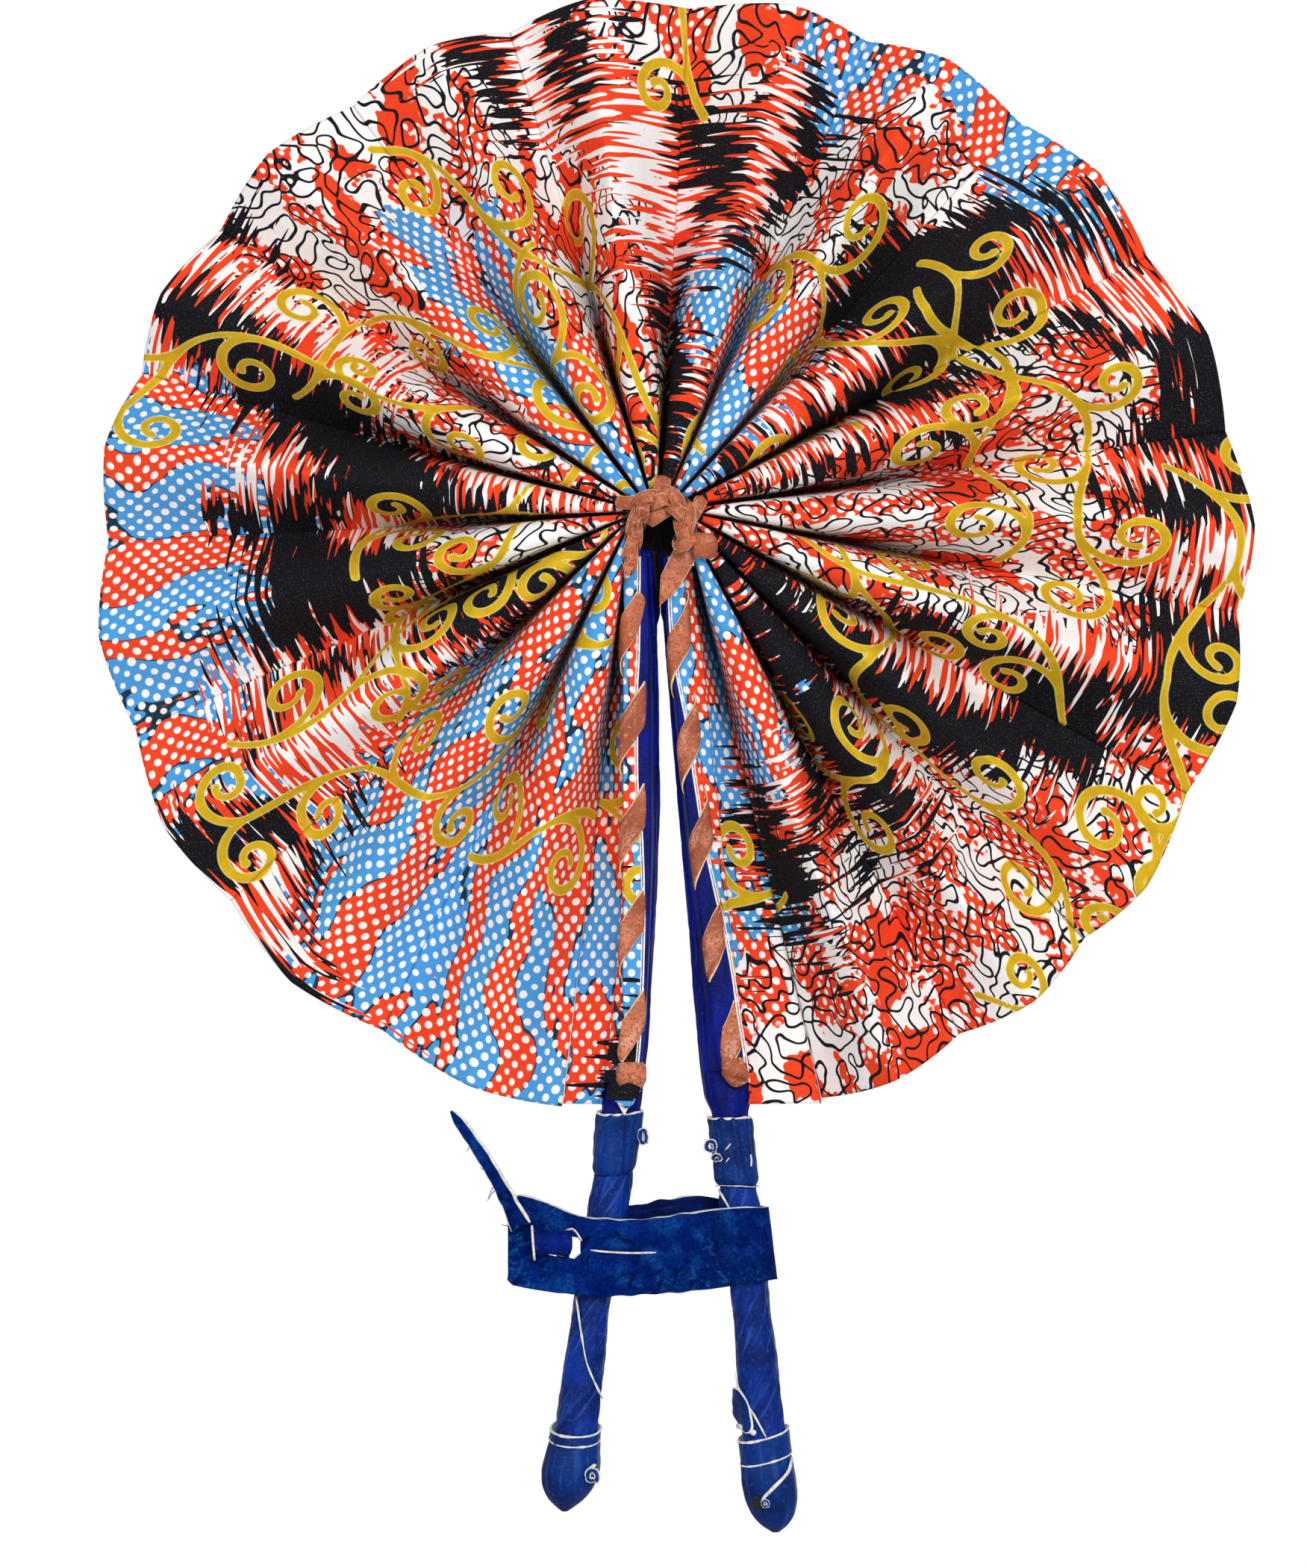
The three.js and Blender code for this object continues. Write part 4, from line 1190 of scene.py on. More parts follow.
    def _section(self, t: Array, share: Array, u: Array, v: Array, depth: Array, tube: Array,
                 amount: Array) -> Array:
        """The y of the cloth: a rounded zigzag from ridge to valley, with drawn creases and soft wrinkles.

        The zigzag is a blend of a cosine and a straight ramp in the cloth's own width, and turns into the
        tube towards the hub. Ridges stand a little higher and lower than each other.

        Args:
            t: across the pleat, from -1 to 1.
            share: share of the way from the ring to the rim.
            u: along the strip, in millimetres.
            v: from the hub to the rim, in millimetres.
            depth: front to back depth of the fold.
            tube: the tube's swing.
            amount: how much of the tube to take.

        Returns:
            The y of each point.
        """
        a = np.abs(t)
        crisp = 0.18 + 0.42 * smoothstep(0.05, 0.6, share)
        swing = -np.cos(math.pi * a) * (1 - crisp) - (1 - 2 * a) * crisp
        swing = swing * (1 - amount) + tube * amount
        dip = self.gather_dip * np.exp(-share / self.dip_share)
        y = depth / 2 * swing + dip * (1 - swing) / 2
        free = smoothstep(0.04, 0.3, share)
        pleat = np.floor(u / (2 * self.panel))
        lift = 1.3 * lattice_noise(pleat * 1.37 + 0.5, v / 45.0, 16) * (1 - swing) / 2
        sag = 1.1 * free * lattice_noise(u / 27.0, v / 60.0, 11)
        drawn = 0.75 * free * lattice_noise(u / 7.5, v / 70.0, 12) * (1 - 0.5 * share)
        fine = 0.16 * free * lattice_noise(u / 2.6, v / 22.0, 13)
        edge = 0.9 * smoothstep(0.86, 1.0, share) * lattice_noise(u / 13.0, v / 30.0, 14)
        return y + sag + drawn + fine + edge + np.maximum(lift, -0.6)

    def print_values(self, u: Array, v: Array) -> dict[str, Array]:
        """The print's numbers at points of cloth: its grounds and the gold lines.

        Args:
            u: along the strip, in millimetres.
            v: from the hub to the rim, in millimetres.

        Returns:
            The numbers by name.
        """
        values = self.layout.fields(u, v, self.cloth_place)
        values["scroll"] = self.scrolls.distance(u, v)
        return values

    def pleat(self, i: int) -> None:
        """One pleat: a ridge and the two panels down to its valleys.

        A point is t across, from -1 at one valley through 0 at the ridge to 1 at the other, and a share
        of the way from the ring to the rim. In the fan's plane it lies between the ridge's and the
        valley's lines.

        Args:
            i: which pleat, from 0.
        """
        t = np.linspace(-1, 1, 2 * self.columns - 1)[None, :]
        share = (np.linspace(0, 1, self.rows) ** 0.92)[:, None]
        ridge = self.ridges[i].at(share)
        before, after = self.valleys[i].at(share), self.valleys[i + 1].at(share)
        valley = np.where((t < 0)[..., None], before, after)
        a = np.abs(t) + 0 * share
        way = unit(self.ridges[i].rim - self.ridges[i].inner)
        tangent = np.array([way[1], -way[0]])
        gap = (np.abs((before - ridge) @ tangent) + np.abs((after - ridge) @ tangent)) / 2
        across, tube, amount = self._tube(a, share, np.maximum(gap, 0.8))
        across = a * (1 - amount) + across * amount
        off = valley - ridge
        inward = (off @ way) * a + self.scallop * share * (a - a ** 1.9)
        level = ridge + tangent * ((off @ tangent) * across)[..., None] + way * inward[..., None]
        u = (i + 0.5 + t / 2) * 2 * self.panel + 0 * share
        length = float(np.linalg.norm(self.ridges[i].rim - self.ridges[i].inner))
        v = self.height - (1 - share) * length + 0 * t
        wander = 0.9 * lattice_noise(v / 26.0, np.full_like(u, i * 3.7), 15) * smoothstep(0.05, 0.3, share)
        wander = wander * (1 - np.abs(t)) * (1 - 0.6 * smoothstep(0.8, 1.0, share))
        level = level + tangent * wander[..., None]
        y = self._section(t, share, u, v, self.depth(gap), tube, amount)
        name = f"pleat_{i + 1:02d}"
        values = self.print_values(u, v)
        # painted shade: each panel darkens towards its valleys near the hub, where the gathered folds lie
        # in shade
        values["shade"] = 0.85 * smoothstep(0.22, 0.88, a) * (1 - smoothstep(0.05, 0.62, share))
        surface = Surface(at_drop(level[..., 0], y, -level[..., 1]), pair(u, v) / 10, values=values)
        made = dress(surface, f"{name}_cloth", Finish.PRINT, name, "cloth", name, thickness=self.cloth)
        middle = self.ridges[i].at(np.array(0.5))
        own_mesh(made)

    def build(self) -> None:
        """Makes every pleat."""
        for i in range(len(self.ridge_degrees)):
            self.pleat(i)


# The sticks

@dataclass(frozen=True)
class Oval:
    """Width and depth of an upright piece by drop, in millimetres, and how its sections tip."""

    width: Pairs
    depth: Pairs
    slant: float = 0.0
    tip: float = 0.0


@dataclass(frozen=True)
class StickShape:
    """The measured shape of one stick and of what it carries. Places are drops below the hub.

    Attributes:
        side: -1 for the left stick and 1 for the right one.
        centre: the middle line's x by drop.
        hem_centre: the hem's middle x by drop.
    """

    name: str
    side: int
    centre: Pairs
    upper: Oval
    grip: Oval
    collar: Oval
    collar_ends: tuple[float, float]
    band: Oval
    band_ends: tuple[float, float]
    cap: Oval
    hem_centre: Pairs
    hem_width: float
    hem_foot: float
    hem_point: float
    hem_flare: float
    lace_turns: float
    lace_pitch: float
    lace_band: tuple[float, float]
    seams: tuple[Pairs, ...]
    lip: Pairs
    lace_start: float
    tab_foot: float = 30.5


LEFT = StickShape(
    name="left", side=-1,
    centre=((8, -3.8), (38, -2.7), (74, -2.8), (110, -4.8), (124, -5.9), (145, -8.8), (162, -10.6),
            (188, -15), (214.5, -18.5), (229.5, -20.4), (239.5, -21.8)),
    upper=Oval(((8, 6.2), (38, 6.8), (110, 8), (128, 8.8), (143, 9.1), (160, 9.1)),
               ((8, 5.2), (110, 6.4), (143, 7.6), (160, 7.6))),
    grip=Oval(((150, 9.1), (158.8, 9.1), (164, 9.8), (188, 9.1), (214, 10.6), (221, 10.4)),
              ((150, 7.6), (158.8, 7.6), (188, 8.4), (221, 9.4))),
    collar=Oval(((143, 11.3), (148, 11.3), (153, 11.0), (159, 10.4)), ((143, 9.8), (159, 9.6)), 0.03, 0.5),
    collar_ends=(143.2, 158.7),
    band=Oval(((218, 12.3), (225, 12.3)), ((218, 11.6), (225, 11.6)), 0.0, 1.9),
    band_ends=(219.3, 222.0),
    cap=Oval(((220.8, 9.8), (222, 12.1), (225.6, 13.2), (229.3, 14.1), (232.3, 13.2), (234.5, 11.4),
              (236.8, 7.9), (238.7, 3.4), (239.5, 0.9)),
             ((220.8, 9), (222, 11.2), (225, 11.9), (229, 13), (233.5, 11.6), (236.8, 7.4), (239.5, 0.9))),
    hem_centre=((12, -5.3), (110, -5.5), (141, -5.9)), hem_width=4.8, hem_foot=138.8,
    hem_point=3.6, hem_flare=3.4,
    lace_turns=4.4, lace_pitch=24.5, lace_band=(131.2, 137.6),
    seams=(((187.6, -18.8), (198.5, -17.4), (204.3, -16.3), (212.2, -13.1)),),
    lip=((10, -3.6), (27, -3.6), (45, -4.2), (66, -4.0), (77, -3.1), (88, -2.5), (109, -2.8), (125, -3.5),
         (134.5, -4.1)),
    lace_start=0.27,
)
RIGHT = StickShape(
    name="right", side=1,
    centre=((8, 3.9), (38, 7), (110, 13.8), (144, 17.7), (188, 22.9), (215, 25.4), (233, 27.4),
            (244.5, 28.9)),
    upper=Oval(((8, 7.2), (38, 8.4), (110, 10), (139, 11), (144.2, 8.6), (160, 8.6)),
               ((8, 5.2), (110, 6.4), (139, 7.4), (144.2, 7.2), (160, 7.2))),
    grip=Oval(((150, 8.6), (161.6, 8.6), (166, 10), (188, 9.4), (214, 10.8), (222, 10.6)),
              ((150, 7.2), (161.6, 7.2), (188, 8.4), (222, 9.4))),
    collar=Oval(((144, 10.8), (162, 10.8)), ((144, 9.4), (162, 9.4))),
    collar_ends=(144.6, 161.5),
    band=Oval(((219, 12.3), (227, 12.3)), ((219, 11.4), (227, 11.4)), 0.26, 1.2),
    band_ends=(220.6, 226.6),
    cap=Oval(((223.6, 9.8), (225.4, 11.9), (228.6, 12.8), (233.1, 13.3), (237.5, 12.2), (240.5, 9.8),
              (242.8, 6.2), (244.5, 1.4)),
             ((223.6, 9), (225.4, 10.9), (228.2, 11.5), (234, 12.4), (238.5, 11), (242.5, 6.2),
              (244.5, 1.4))),
    hem_centre=((12, 4.9), (33, 5.8), (58, 8.4), (81, 11.3), (106, 14.7), (141, 20.4)), hem_width=4.2,
    hem_foot=134.6, hem_point=0.0, hem_flare=0.0,
    lace_turns=4.6, lace_pitch=23.9, lace_band=(130, 136.2),
    seams=(((161.9, 15.4), (166.4, 17.9)), ((205.7, 19.7), (209.8, 20.3), (216.3, 23.9), (221.5, 26.6))),
    lip=((10, 3.0), (30, 3.6), (45, 6.2), (56, 8.0), (66, 9.5), (77, 11.2), (92, 14.5), (106, 17.4),
         (120, 19.6), (133.5, 21.6)),
    lace_start=-0.31,
)


@dataclass
class Stick:
    """One leather-covered stick with its collar, cap, knots, hem and lace."""

    shape: StickShape
    leaf: Leaf
    gap: float = 0.3
    hem_thick: float = 1.4
    lace_width: float = 5.0
    lace_thick: float = 0.8
    lace_from: float = 21.0
    hem_top: float = 10.0
    top: float = 8.0
    pleat_ends: tuple[float, float] = (12.0, 141.6)
    fold_anchor: float = 95.0
    flat_back: float = 0.8
    squareness: float = 2.25

    @property
    def body(self) -> str:
        """The body that carries it."""
        return f"{self.shape.name}_stick"

    def name(self, piece: str) -> str:
        """A piece's name on this stick."""
        return f"{self.shape.name}_{piece}"

    def add(self, surface: Surface, piece: str, finish: Finish, *nodes: str,
            thickness: float = 0.0) -> bpy.types.Object:
        """Dresses one of the stick's pieces, whose name and nodes come without the stick's own name."""
        slots = {Finish.PRINT: "cloth", Finish.RAW: "cloth", Finish.BROWN: "brown_leather"}
        return dress(surface, self.name(piece), finish, self.body, slots.get(finish, "blue_leather"),
                     *map(self.name, nodes), thickness=thickness)

    def x(self, drop: Array | float) -> Array:
        """The middle line's x."""
        return through(self.shape.centre, drop)

    def around(self, oval: Oval, drop: Array, turn: Array, grow: Array | float = 0.0) -> Array:
        """Points on an oval sleeve.

        The section is a superellipse, with a flat back. It tips up towards +X by its slant, and its front
        hangs lower than its sides by its tip.

        Args:
            oval: widths and depths by drop.
            drop: places down the stick.
            turn: angles round it, 0 at the front and rising towards +X.
            grow: how far the surface stands off the oval, in millimetres.

        Returns:
            Points whose last axis is x, y, z.
        """
        power = 2 / self.squareness
        across = (through(oval.width, drop) / 2 + grow) * powered(np.sin(turn), power)
        back = -(through(oval.depth, drop) / 2 + grow) * powered(np.cos(turn), power)
        back = np.minimum(back, self.flat_back * through(oval.depth, drop) / 2)
        return at_drop(self.x(drop) + across, back, drop - oval.slant * across + oval.tip * np.cos(turn))

    def barrel(self, oval: Oval, ends: tuple[float, float], relief: Callable[[Array, Array], Array],
               rounding: float = 0.0, foot_rounding: float | None = None, rows: int = 90,
               columns: int = 72) -> Surface:
        """A closed sleeve between two drops, with rounded ends that close on the middle line.

        Args:
            oval: its widths and depths.
            ends: its top and foot.
            relief: how far the surface stands out at (turn, drop), in millimetres.
            rounding: radius of its rounded ends.
            foot_rounding: radius at its foot, where that differs.
            rows: rows of points.
            columns: points round it.

        Returns:
            The surface.
        """
        drop = np.linspace(*ends, rows)[:, None]
        turn = math.pi + circle(columns)[None, :]
        foot = rounding if foot_rounding is None else foot_rounding
        inset = np.zeros_like(drop)
        for near, radius in ((drop - ends[0], rounding), (ends[1] - drop, foot)):
            inset = inset + radius - np.sqrt(np.maximum(radius ** 2 - np.maximum(radius - near, 0) ** 2, 0))
        points = self.around(oval, drop, turn, relief(turn, drop) - inset)
        girth = float(np.mean(through(oval.width, drop) + through(oval.depth, drop))) * math.pi / 2
        uv = pair(drop / 10, np.arange(columns + 1) / columns * girth / 10)
        return tube(points, uv)

    def creases(self, seed: int, size: float, twist: float = 0.0) -> Callable[[Array, Array], Array]:
        """Relief of stretched leather: lumps, lengthwise folds, crosswise wrinkles and slanting fine lines.

        Args:
            seed: which pattern.
            size: height of the largest folds, in millimetres.
            twist: how fast the fine lines wind round, in radians for each millimetre.

        Returns:
            The relief as a function of turn and drop.
        """
        def relief(turn: Array, drop: Array) -> Array:
            """Four layers of smooth noise over the sleeve, periodic round it.

            Args:
                turn: angle round the sleeve.
                drop: place down the stick.

            Returns:
                The height in millimetres.
            """
            a, b = 3 * np.cos(turn), 3 * np.sin(turn)
            lumps = lattice_noise(a * 0.55 + drop / 14 + seed, b * 0.55 + drop / 17, seed)
            folds = lattice_noise(a * 1.5 + drop / 40, b * 1.5 - drop / 31 + seed, seed + 1)
            wrinkles = lattice_noise(a * 0.5 + seed, drop / 1.9 + b * 0.5, seed + 2)
            wound = turn + twist * drop
            c, d = 6.5 * np.cos(wound), 6.5 * np.sin(wound)
            lines = lattice_noise(c + drop / 30, d + drop / 26, seed + 3)
            return size * (0.55 * lumps + 0.55 * folds + 0.2 * wrinkles + 0.28 * lines)
        return relief

    def sleeves(self) -> None:
        """The upper leather, the grip leather, the collar, the band and the cap."""
        shape = self.shape
        middle = sum(shape.collar_ends) / 2
        cap_ends = (shape.cap.width[0][0], shape.cap.width[-1][0])
        upper = self.barrel(shape.upper, (self.top, middle), self.creases(21, 0.35), 1.6, rows=190)
        # painted shade: the upper leather darkens near the hub, the right stick's far more, where it lies
        # in shade
        dark = 0.45 + 0.4 * shape.side
        upper.values["shade"] = dark * (1 - smoothstep(10.0, 34.0, HUB_HEIGHT - upper.points[..., 2]))
        self.add(upper, "upper_sleeve", Finish.BLUE_UPPER, "upper_leather")
        grip = self.barrel(shape.grip, (middle, shape.band_ends[1]), self.creases(24, 0.5, 0.09), rows=190)
        self.add(grip, "grip_sleeve", Finish.BLUE, "grip_leather")
        for piece, node, oval, ends, relief, rounding, rows in (
            ("collar_wrap", "collar", shape.collar, shape.collar_ends, (27, 0.75), (0.9, 2.6), 70),
            ("cap_ring", "cap_band", shape.band, shape.band_ends, (30, 0.15), (0.4,), 36),
            ("cap_leather", "cap", shape.cap, cap_ends, (33, 0.35), (), 70),
        ):
            sleeve = self.barrel(oval, ends, self.creases(*relief), *rounding, rows=rows)
            self.add(sleeve, piece, Finish.WRAP, node)

    def ring_edge(self, piece: str, oval: Oval, drop: float, out: float, width: float, seed: int) -> None:
        """A thin pale cut edge that runs round a sleeve with a little waver.

        Args:
            piece: its name on this stick.
            oval: the sleeve that it runs round.
            drop: where.
            out: how far it stands off the sleeve.
            width: its full width.
            seed: which waver.
        """
        turn, around = circle(96)[:, None], circle(8)
        waver = 0.22 * lattice_noise(1.4 * np.cos(turn) + 9, 1.4 * np.sin(turn) + 5, seed)
        swell = 1 + 0.45 * lattice_noise(4 * np.cos(turn), 4 * np.sin(turn), seed + 1)
        level = drop + waver + width / 2 * swell * np.sin(around)
        points = self.around(oval, level, turn, out + 0.35 * np.cos(around))
        self.add(Surface(points, closed=True, wrap=True), piece, Finish.CUT)

    def seam(self, piece: str, oval: Oval, line: Pairs, width: float = 0.55, out: float = 0.35,
             finish: Finish = Finish.CUT, blunt: float = 3.0) -> None:
        """A pale raised cut edge that runs along the front of a sleeve through measured points.

        Args:
            piece: its name on this stick.
            oval: the sleeve that it lies on.
            line: drop and x pairs.
            width: its full width.
            out: how far its middle stands off the sleeve.
            finish: its finish.
            blunt: 1 for ends that taper all along, and more for blunter ends.
        """
        drop = np.linspace(line[0][0], line[-1][0], 60)
        x = through(line, drop)
        half = through(oval.width, drop) / 2
        share = np.clip((x - self.x(drop)) / half, -0.97, 0.97)
        turn = np.arcsin(powered(share, self.squareness / 2))
        points = self.around(Oval(oval.width, oval.depth), drop, turn, out)
        outward = unit(points - at_drop(self.x(drop), 0.0, drop))
        across = unit(np.cross(heading(points), outward))
        swell = width * (1 + 0.4 * lattice_noise(drop / 2.1, drop * 0 + 3, 41)) * blunted(60, blunt)
        self.add(strip(points, across, outward, swell, 0.5, 10, 2.5), piece, finish)

    def edges(self) -> None:
        """The pale cut edges and seams of the leather."""
        shape = self.shape
        top, foot = shape.band_ends
        self.ring_edge("collar_top_edge", shape.collar, shape.collar_ends[0] + 0.3, -0.35, 0.6, 51)
        self.ring_edge("band_top_edge", shape.band, top + 0.2, -0.15, 0.6, 53)
        self.ring_edge("band_foot_edge", shape.band, foot - 0.1, -0.15, 0.55, 55)
        for i, line in enumerate(shape.seams):
            self.seam(f"grip_seam_{i + 1}", shape.grip, line)

    def curl(self, piece: str, nodes: Sequence[str], drop: float, out: float, y: float, width: float,
             height: float, thick: float = 0.9) -> None:
        """A knot's curl: a ragged thong bent into a ring that does not quite close, with pale cut edges.

        Args:
            piece: its name on this stick.
            nodes: the nodes that it stands for.
            drop: its middle.
            out: its middle's distance from the stick's middle line, along X.
            y: its middle's y.
            width: full width.
            height: full height.
            thick: the thong's thickness.
        """
        turn = np.linspace(-0.9, 1.75 * math.pi, 60)
        spiral = 1 - 0.36 * np.linspace(0, 1, 60) + 0.06 * lattice_noise(turn * 1.7, turn * 0 + drop, 43)
        x = float(self.x(drop)) + out + (width / 2 - thick / 2) * spiral * np.cos(turn)
        z = (height / 2 - thick / 2) * spiral * np.sin(turn)
        path = np.stack([x, y + 0.6 * np.linspace(-1, 1, 60), HUB_HEIGHT - drop + z], axis=-1)
        along = heading(path)
        outward = square_to(along, FRONT)
        ragged = thick * (1 + 0.35 * lattice_noise(turn * 2.4, turn * 0 + drop, 44))
        sides, square = 20, 3.0
        made = strip(path, unit(np.cross(along, outward)), outward, 1.25 * ragged, 2.1, sides, square)
        place = np.abs(np.cos(circle(sides))) ** (2 / square)
        made.values["edge"] = np.broadcast_to(smoothstep(0.45, 0.75, place), made.points.shape[:2])
        self.add(made, piece, Finish.WRAP, *nodes)

    def flap(self) -> None:
        """The thong's end tucked round the grip: a wavy leaf of leather with pale cut edges."""
        rows, columns = 34, 30
        down = np.linspace(0, 1, rows)[:, None]
        full = np.clip(1 - np.abs(2 * down - 1) ** 3.0, 0.02, 1) ** 0.45
        level = np.linspace(0, 1, columns)[None, :]
        round_ = 0.5 + (level - 0.5) * full
        turn = np.radians(-96 + 78 * round_ + 10 * (down - 0.5))
        drop = 210.8 + 8.6 * down + 3.4 * (round_ - 0.45) * (0.4 + down)
        drop = drop - 1.3 * np.sin(math.pi * round_) * (1 - down)
        lift = 0.75 + 0.55 * np.sin(2.2 * math.pi * round_ + 2.2 * down) * down + 0.5 * round_ * down
        lift = lift + 0.15 * lattice_noise(down * 5, round_ * 5, 47)
        points = self.around(Oval(self.shape.grip.width, self.shape.grip.depth), drop, turn, lift)
        near = np.minimum(np.minimum(down, 1 - down) * 8.6, np.minimum(level, 1 - level) * 7.0 * full)
        values = {"edge": smoothstep(0.42, 0.2, near)}
        surface = Surface(points, pair(down * 0.86, round_ * 0.7), values=values)
        self.add(surface, "grip_flap", Finish.WRAP, "bow", thickness=0.7)

    def hem_y(self, drop: Array | float) -> Array:
        """The y of the hem's middle."""
        skin = -through(self.shape.upper.depth, drop) / 2
        return skin - self.gap - self.lace_thick - self.gap - self.hem_thick / 2

    def round_hem(self, share: Array, drop: Array, out: Array | float) -> Array:
        """Points on an oblong round the hem: two flat sides joined by half circles.

        Args:
            share: how far round, as a share of a turn, from the front's outer end.
            drop: where down the hem.
            out: distance off the hem.

        Returns:
            Points whose last axis is x, y, z.
        """
        share, drop, out = np.broadcast_arrays(np.asarray(share, float), drop, out)
        straight = self.shape.hem_width - self.hem_thick
        radius = self.hem_thick / 2 + out
        bend = math.pi * radius
        s = (share % 1.0) * 2 * (straight + bend)
        first, second, third = straight, straight + bend, 2 * straight + bend
        a, b = (s - first) / radius, (s - third) / radius
        dx = np.select([s < first, s < second, s < third],
                       [straight / 2 - s, -straight / 2 - radius * np.sin(a), -straight / 2 + (s - second)],
                       straight / 2 + radius * np.sin(b))
        dy = np.select([s < first, s < second, s < third], [-radius, -radius * np.cos(a), radius],
                       radius * np.cos(b))
        x = through(self.shape.hem_centre, drop) + self.shape.side * dx
        return at_drop(x, self.hem_y(drop) + dy, drop)

    def hem(self) -> None:
        """The leaf's edge, folded into a flat hem in front of the stick."""
        shape = self.shape
        rows, columns = 150, 44
        share = np.linspace(0.56, 1.545, columns)[None, :]
        middle = through(shape.hem_centre, shape.hem_foot)
        across = (self.round_hem(share, shape.hem_foot, 0)[..., 0] - middle) / (shape.hem_width / 2)
        foot = shape.hem_foot + shape.hem_point * (1 - np.abs(across + 0.2))
        drop = self.hem_top + (foot - self.hem_top) * np.linspace(0, 1, rows)[:, None]
        ripple = 0.16 * lattice_noise(share * 9 + 0 * drop, drop / 9, 61) - 0.2
        sway = 0.3 * (0.25 * np.cos(2 * math.pi * (drop - self.lace_from) / shape.lace_pitch))
        points = self.round_hem(share, drop, ripple)
        flare = shape.hem_flare * smoothstep(shape.hem_foot - 9, shape.hem_foot, drop)
        points[..., 0] += sway + shape.side * flare * np.clip(shape.side * across, 0, 1)
        girth = 2 * (shape.hem_width - self.hem_thick) + math.pi * self.hem_thick
        base = 0.0 if shape.side < 0 else self.leaf.strip_length
        u = base + shape.side * (14 + girth * (share - 0.5)) + 0 * drop
        surface = Surface(points, pair(u, drop) / 10, values=self.leaf.print_values(u, drop))
        made = self.add(surface, "hem_cloth", Finish.PRINT, "hem", thickness=0.35)
        self.lip()

    def lip(self) -> None:
        """The leather's lip over the hem's inner part, and the two pale cut edges along it."""
        shape = self.shape
        side = shape.side
        rows, columns = 160, 22
        drop = np.linspace(shape.lip[0][0], shape.lip[-1][0], rows)
        t = np.linspace(0, 1, columns)[None, :]
        edge = through(shape.lip, drop) + 0.14 * lattice_noise(drop / 7.0, drop * 0, 65)
        root = self.x(drop) - side * (through(shape.upper.width, drop) / 2 - 0.8)
        root = side * np.minimum(side * root, side * edge - 0.5)
        front = self.hem_y(drop) - self.hem_thick / 2 - 0.24
        skin = -through(shape.upper.depth, drop) / 2
        x = root[:, None] + (edge - root)[:, None] * t
        y = front[:, None] + (0.5 * skin - front)[:, None] * (1 - smoothstep(0.0, 0.42, t))
        surface = Surface(at_drop(x, y, drop[:, None]), pair(drop[:, None], x) / 10)
        self.add(surface, "leather_lip", Finish.BLUE_UPPER, thickness=0.2)
        for i, (out, back) in enumerate(((0.15, -0.12), (0.72, 0.2))):
            path = at_drop(edge + side * out, front + back, drop)
            line = thong(path, 0.44 - 0.1 * i, 0.5, 8, 2.5, hand=-1)
            self.add(line, f"hem_raw_edge_{i + 1}", Finish.RAW)
        if shape.hem_point > 0:
            self.corner()

    def corner(self) -> None:
        """The folded white corner of the cloth under the hem's foot."""
        shape = self.shape
        rows, columns = 14, 16
        down = np.linspace(0, 1, rows)[:, None]
        over = np.linspace(-1, 1, columns)[None, :]
        drop = shape.hem_foot + 0.2 + (shape.hem_point + 1.6) * down - 1.2 * np.abs(over)
        x = through(shape.hem_centre, drop) - 1.6 + over * (3.6 - 3.2 * down)
        y = self.hem_y(drop) + 0.35 + 0.3 * np.abs(over) + 0.1 * lattice_noise(over * 3, down * 3, 68)
        self.add(Surface(at_drop(x, y, drop)), "hem_corner", Finish.RAW, thickness=0.4)

    def edge_pleat(self) -> None:
        """The half pleat from the lace back to the leaf's first or last valley."""
        shape, leaf = self.shape, self.leaf
        side = shape.side
        valley = leaf.valleys[0] if side < 0 else leaf.valleys[-1]
        ridge = leaf.ridges[0] if side < 0 else leaf.ridges[-1]
        rows, columns = 130, 34
        drop = np.linspace(*self.pleat_ends, rows)
        share = np.clip((-drop - valley.inner[1]) / (valley.rim[1] - valley.inner[1]), 0.02, 1)
        lowest, highest = side * valley.at(share)[:, 0], side * ridge.at(share)[:, 0]
        apart = np.abs(highest - lowest)
        leather = side * self.x(drop) + through(shape.upper.width, drop) / 2
        far = np.maximum(lowest - 0.3, leather + 0.7)
        up = np.clip((far - lowest) / np.maximum(apart, 0.5), 0, 0.5)
        hem_edge = side * through(shape.hem_centre, drop) + shape.hem_width / 2
        start = np.minimum(hem_edge - 0.5, leather - 2.2)
        front = self.hem_y(drop) + 0.2
        skin = -through(shape.upper.depth, drop) / 2
        tuck = smoothstep(shape.hem_foot - 4.0, shape.hem_foot - 2.0, drop)
        behind = np.maximum(leaf.depth(apart) / 2 * np.cos(math.pi * up) - 0.5, 3.0)
        t = np.linspace(0, 1, columns)
        keys = np.array([0.0, 0.2, 0.4, 0.6, 1.0])
        xs = np.stack([start + (leather + 0.2 - start) * tuck, leather - 1.3 + 1.55 * tuck, leather + 0.3,
                       leather + 0.5, far])
        ys = np.stack([front + (skin / 2 - 0.4 - front) * tuck, skin - 0.5 + (0.3 - skin / 2) * tuck,
                       skin / 2, 1.2 + 0 * front, behind])
        points = np.zeros((rows, columns, 3))
        for row in range(rows):
            points[row, :, 0] = side * through(list(zip(keys, xs[:, row])), t)
            points[row, :, 1] = through(list(zip(keys, ys[:, row])), t)
            points[row, :, 2] = HUB_HEIGHT - drop[row]
        steps = np.linalg.norm(np.diff(points, axis=1), axis=-1)
        run = np.concatenate([np.zeros((rows, 1)), np.cumsum(steps, axis=1)], axis=1)
        u = side * (run[:, -1:] - run) + (0.0 if side < 0 else leaf.strip_length)
        v = np.broadcast_to(drop[:, None], u.shape)
        points[..., 1] += 0.35 * lattice_noise(u / 6, v / 16, 63) * np.sin(math.pi * t)
        surface = Surface(points, pair(u, v) / 10, values=leaf.print_values(u, v))
        made = self.add(surface, "edge_pleat_cloth", Finish.PRINT, "edge_pleat", thickness=0.4)
        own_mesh(made)

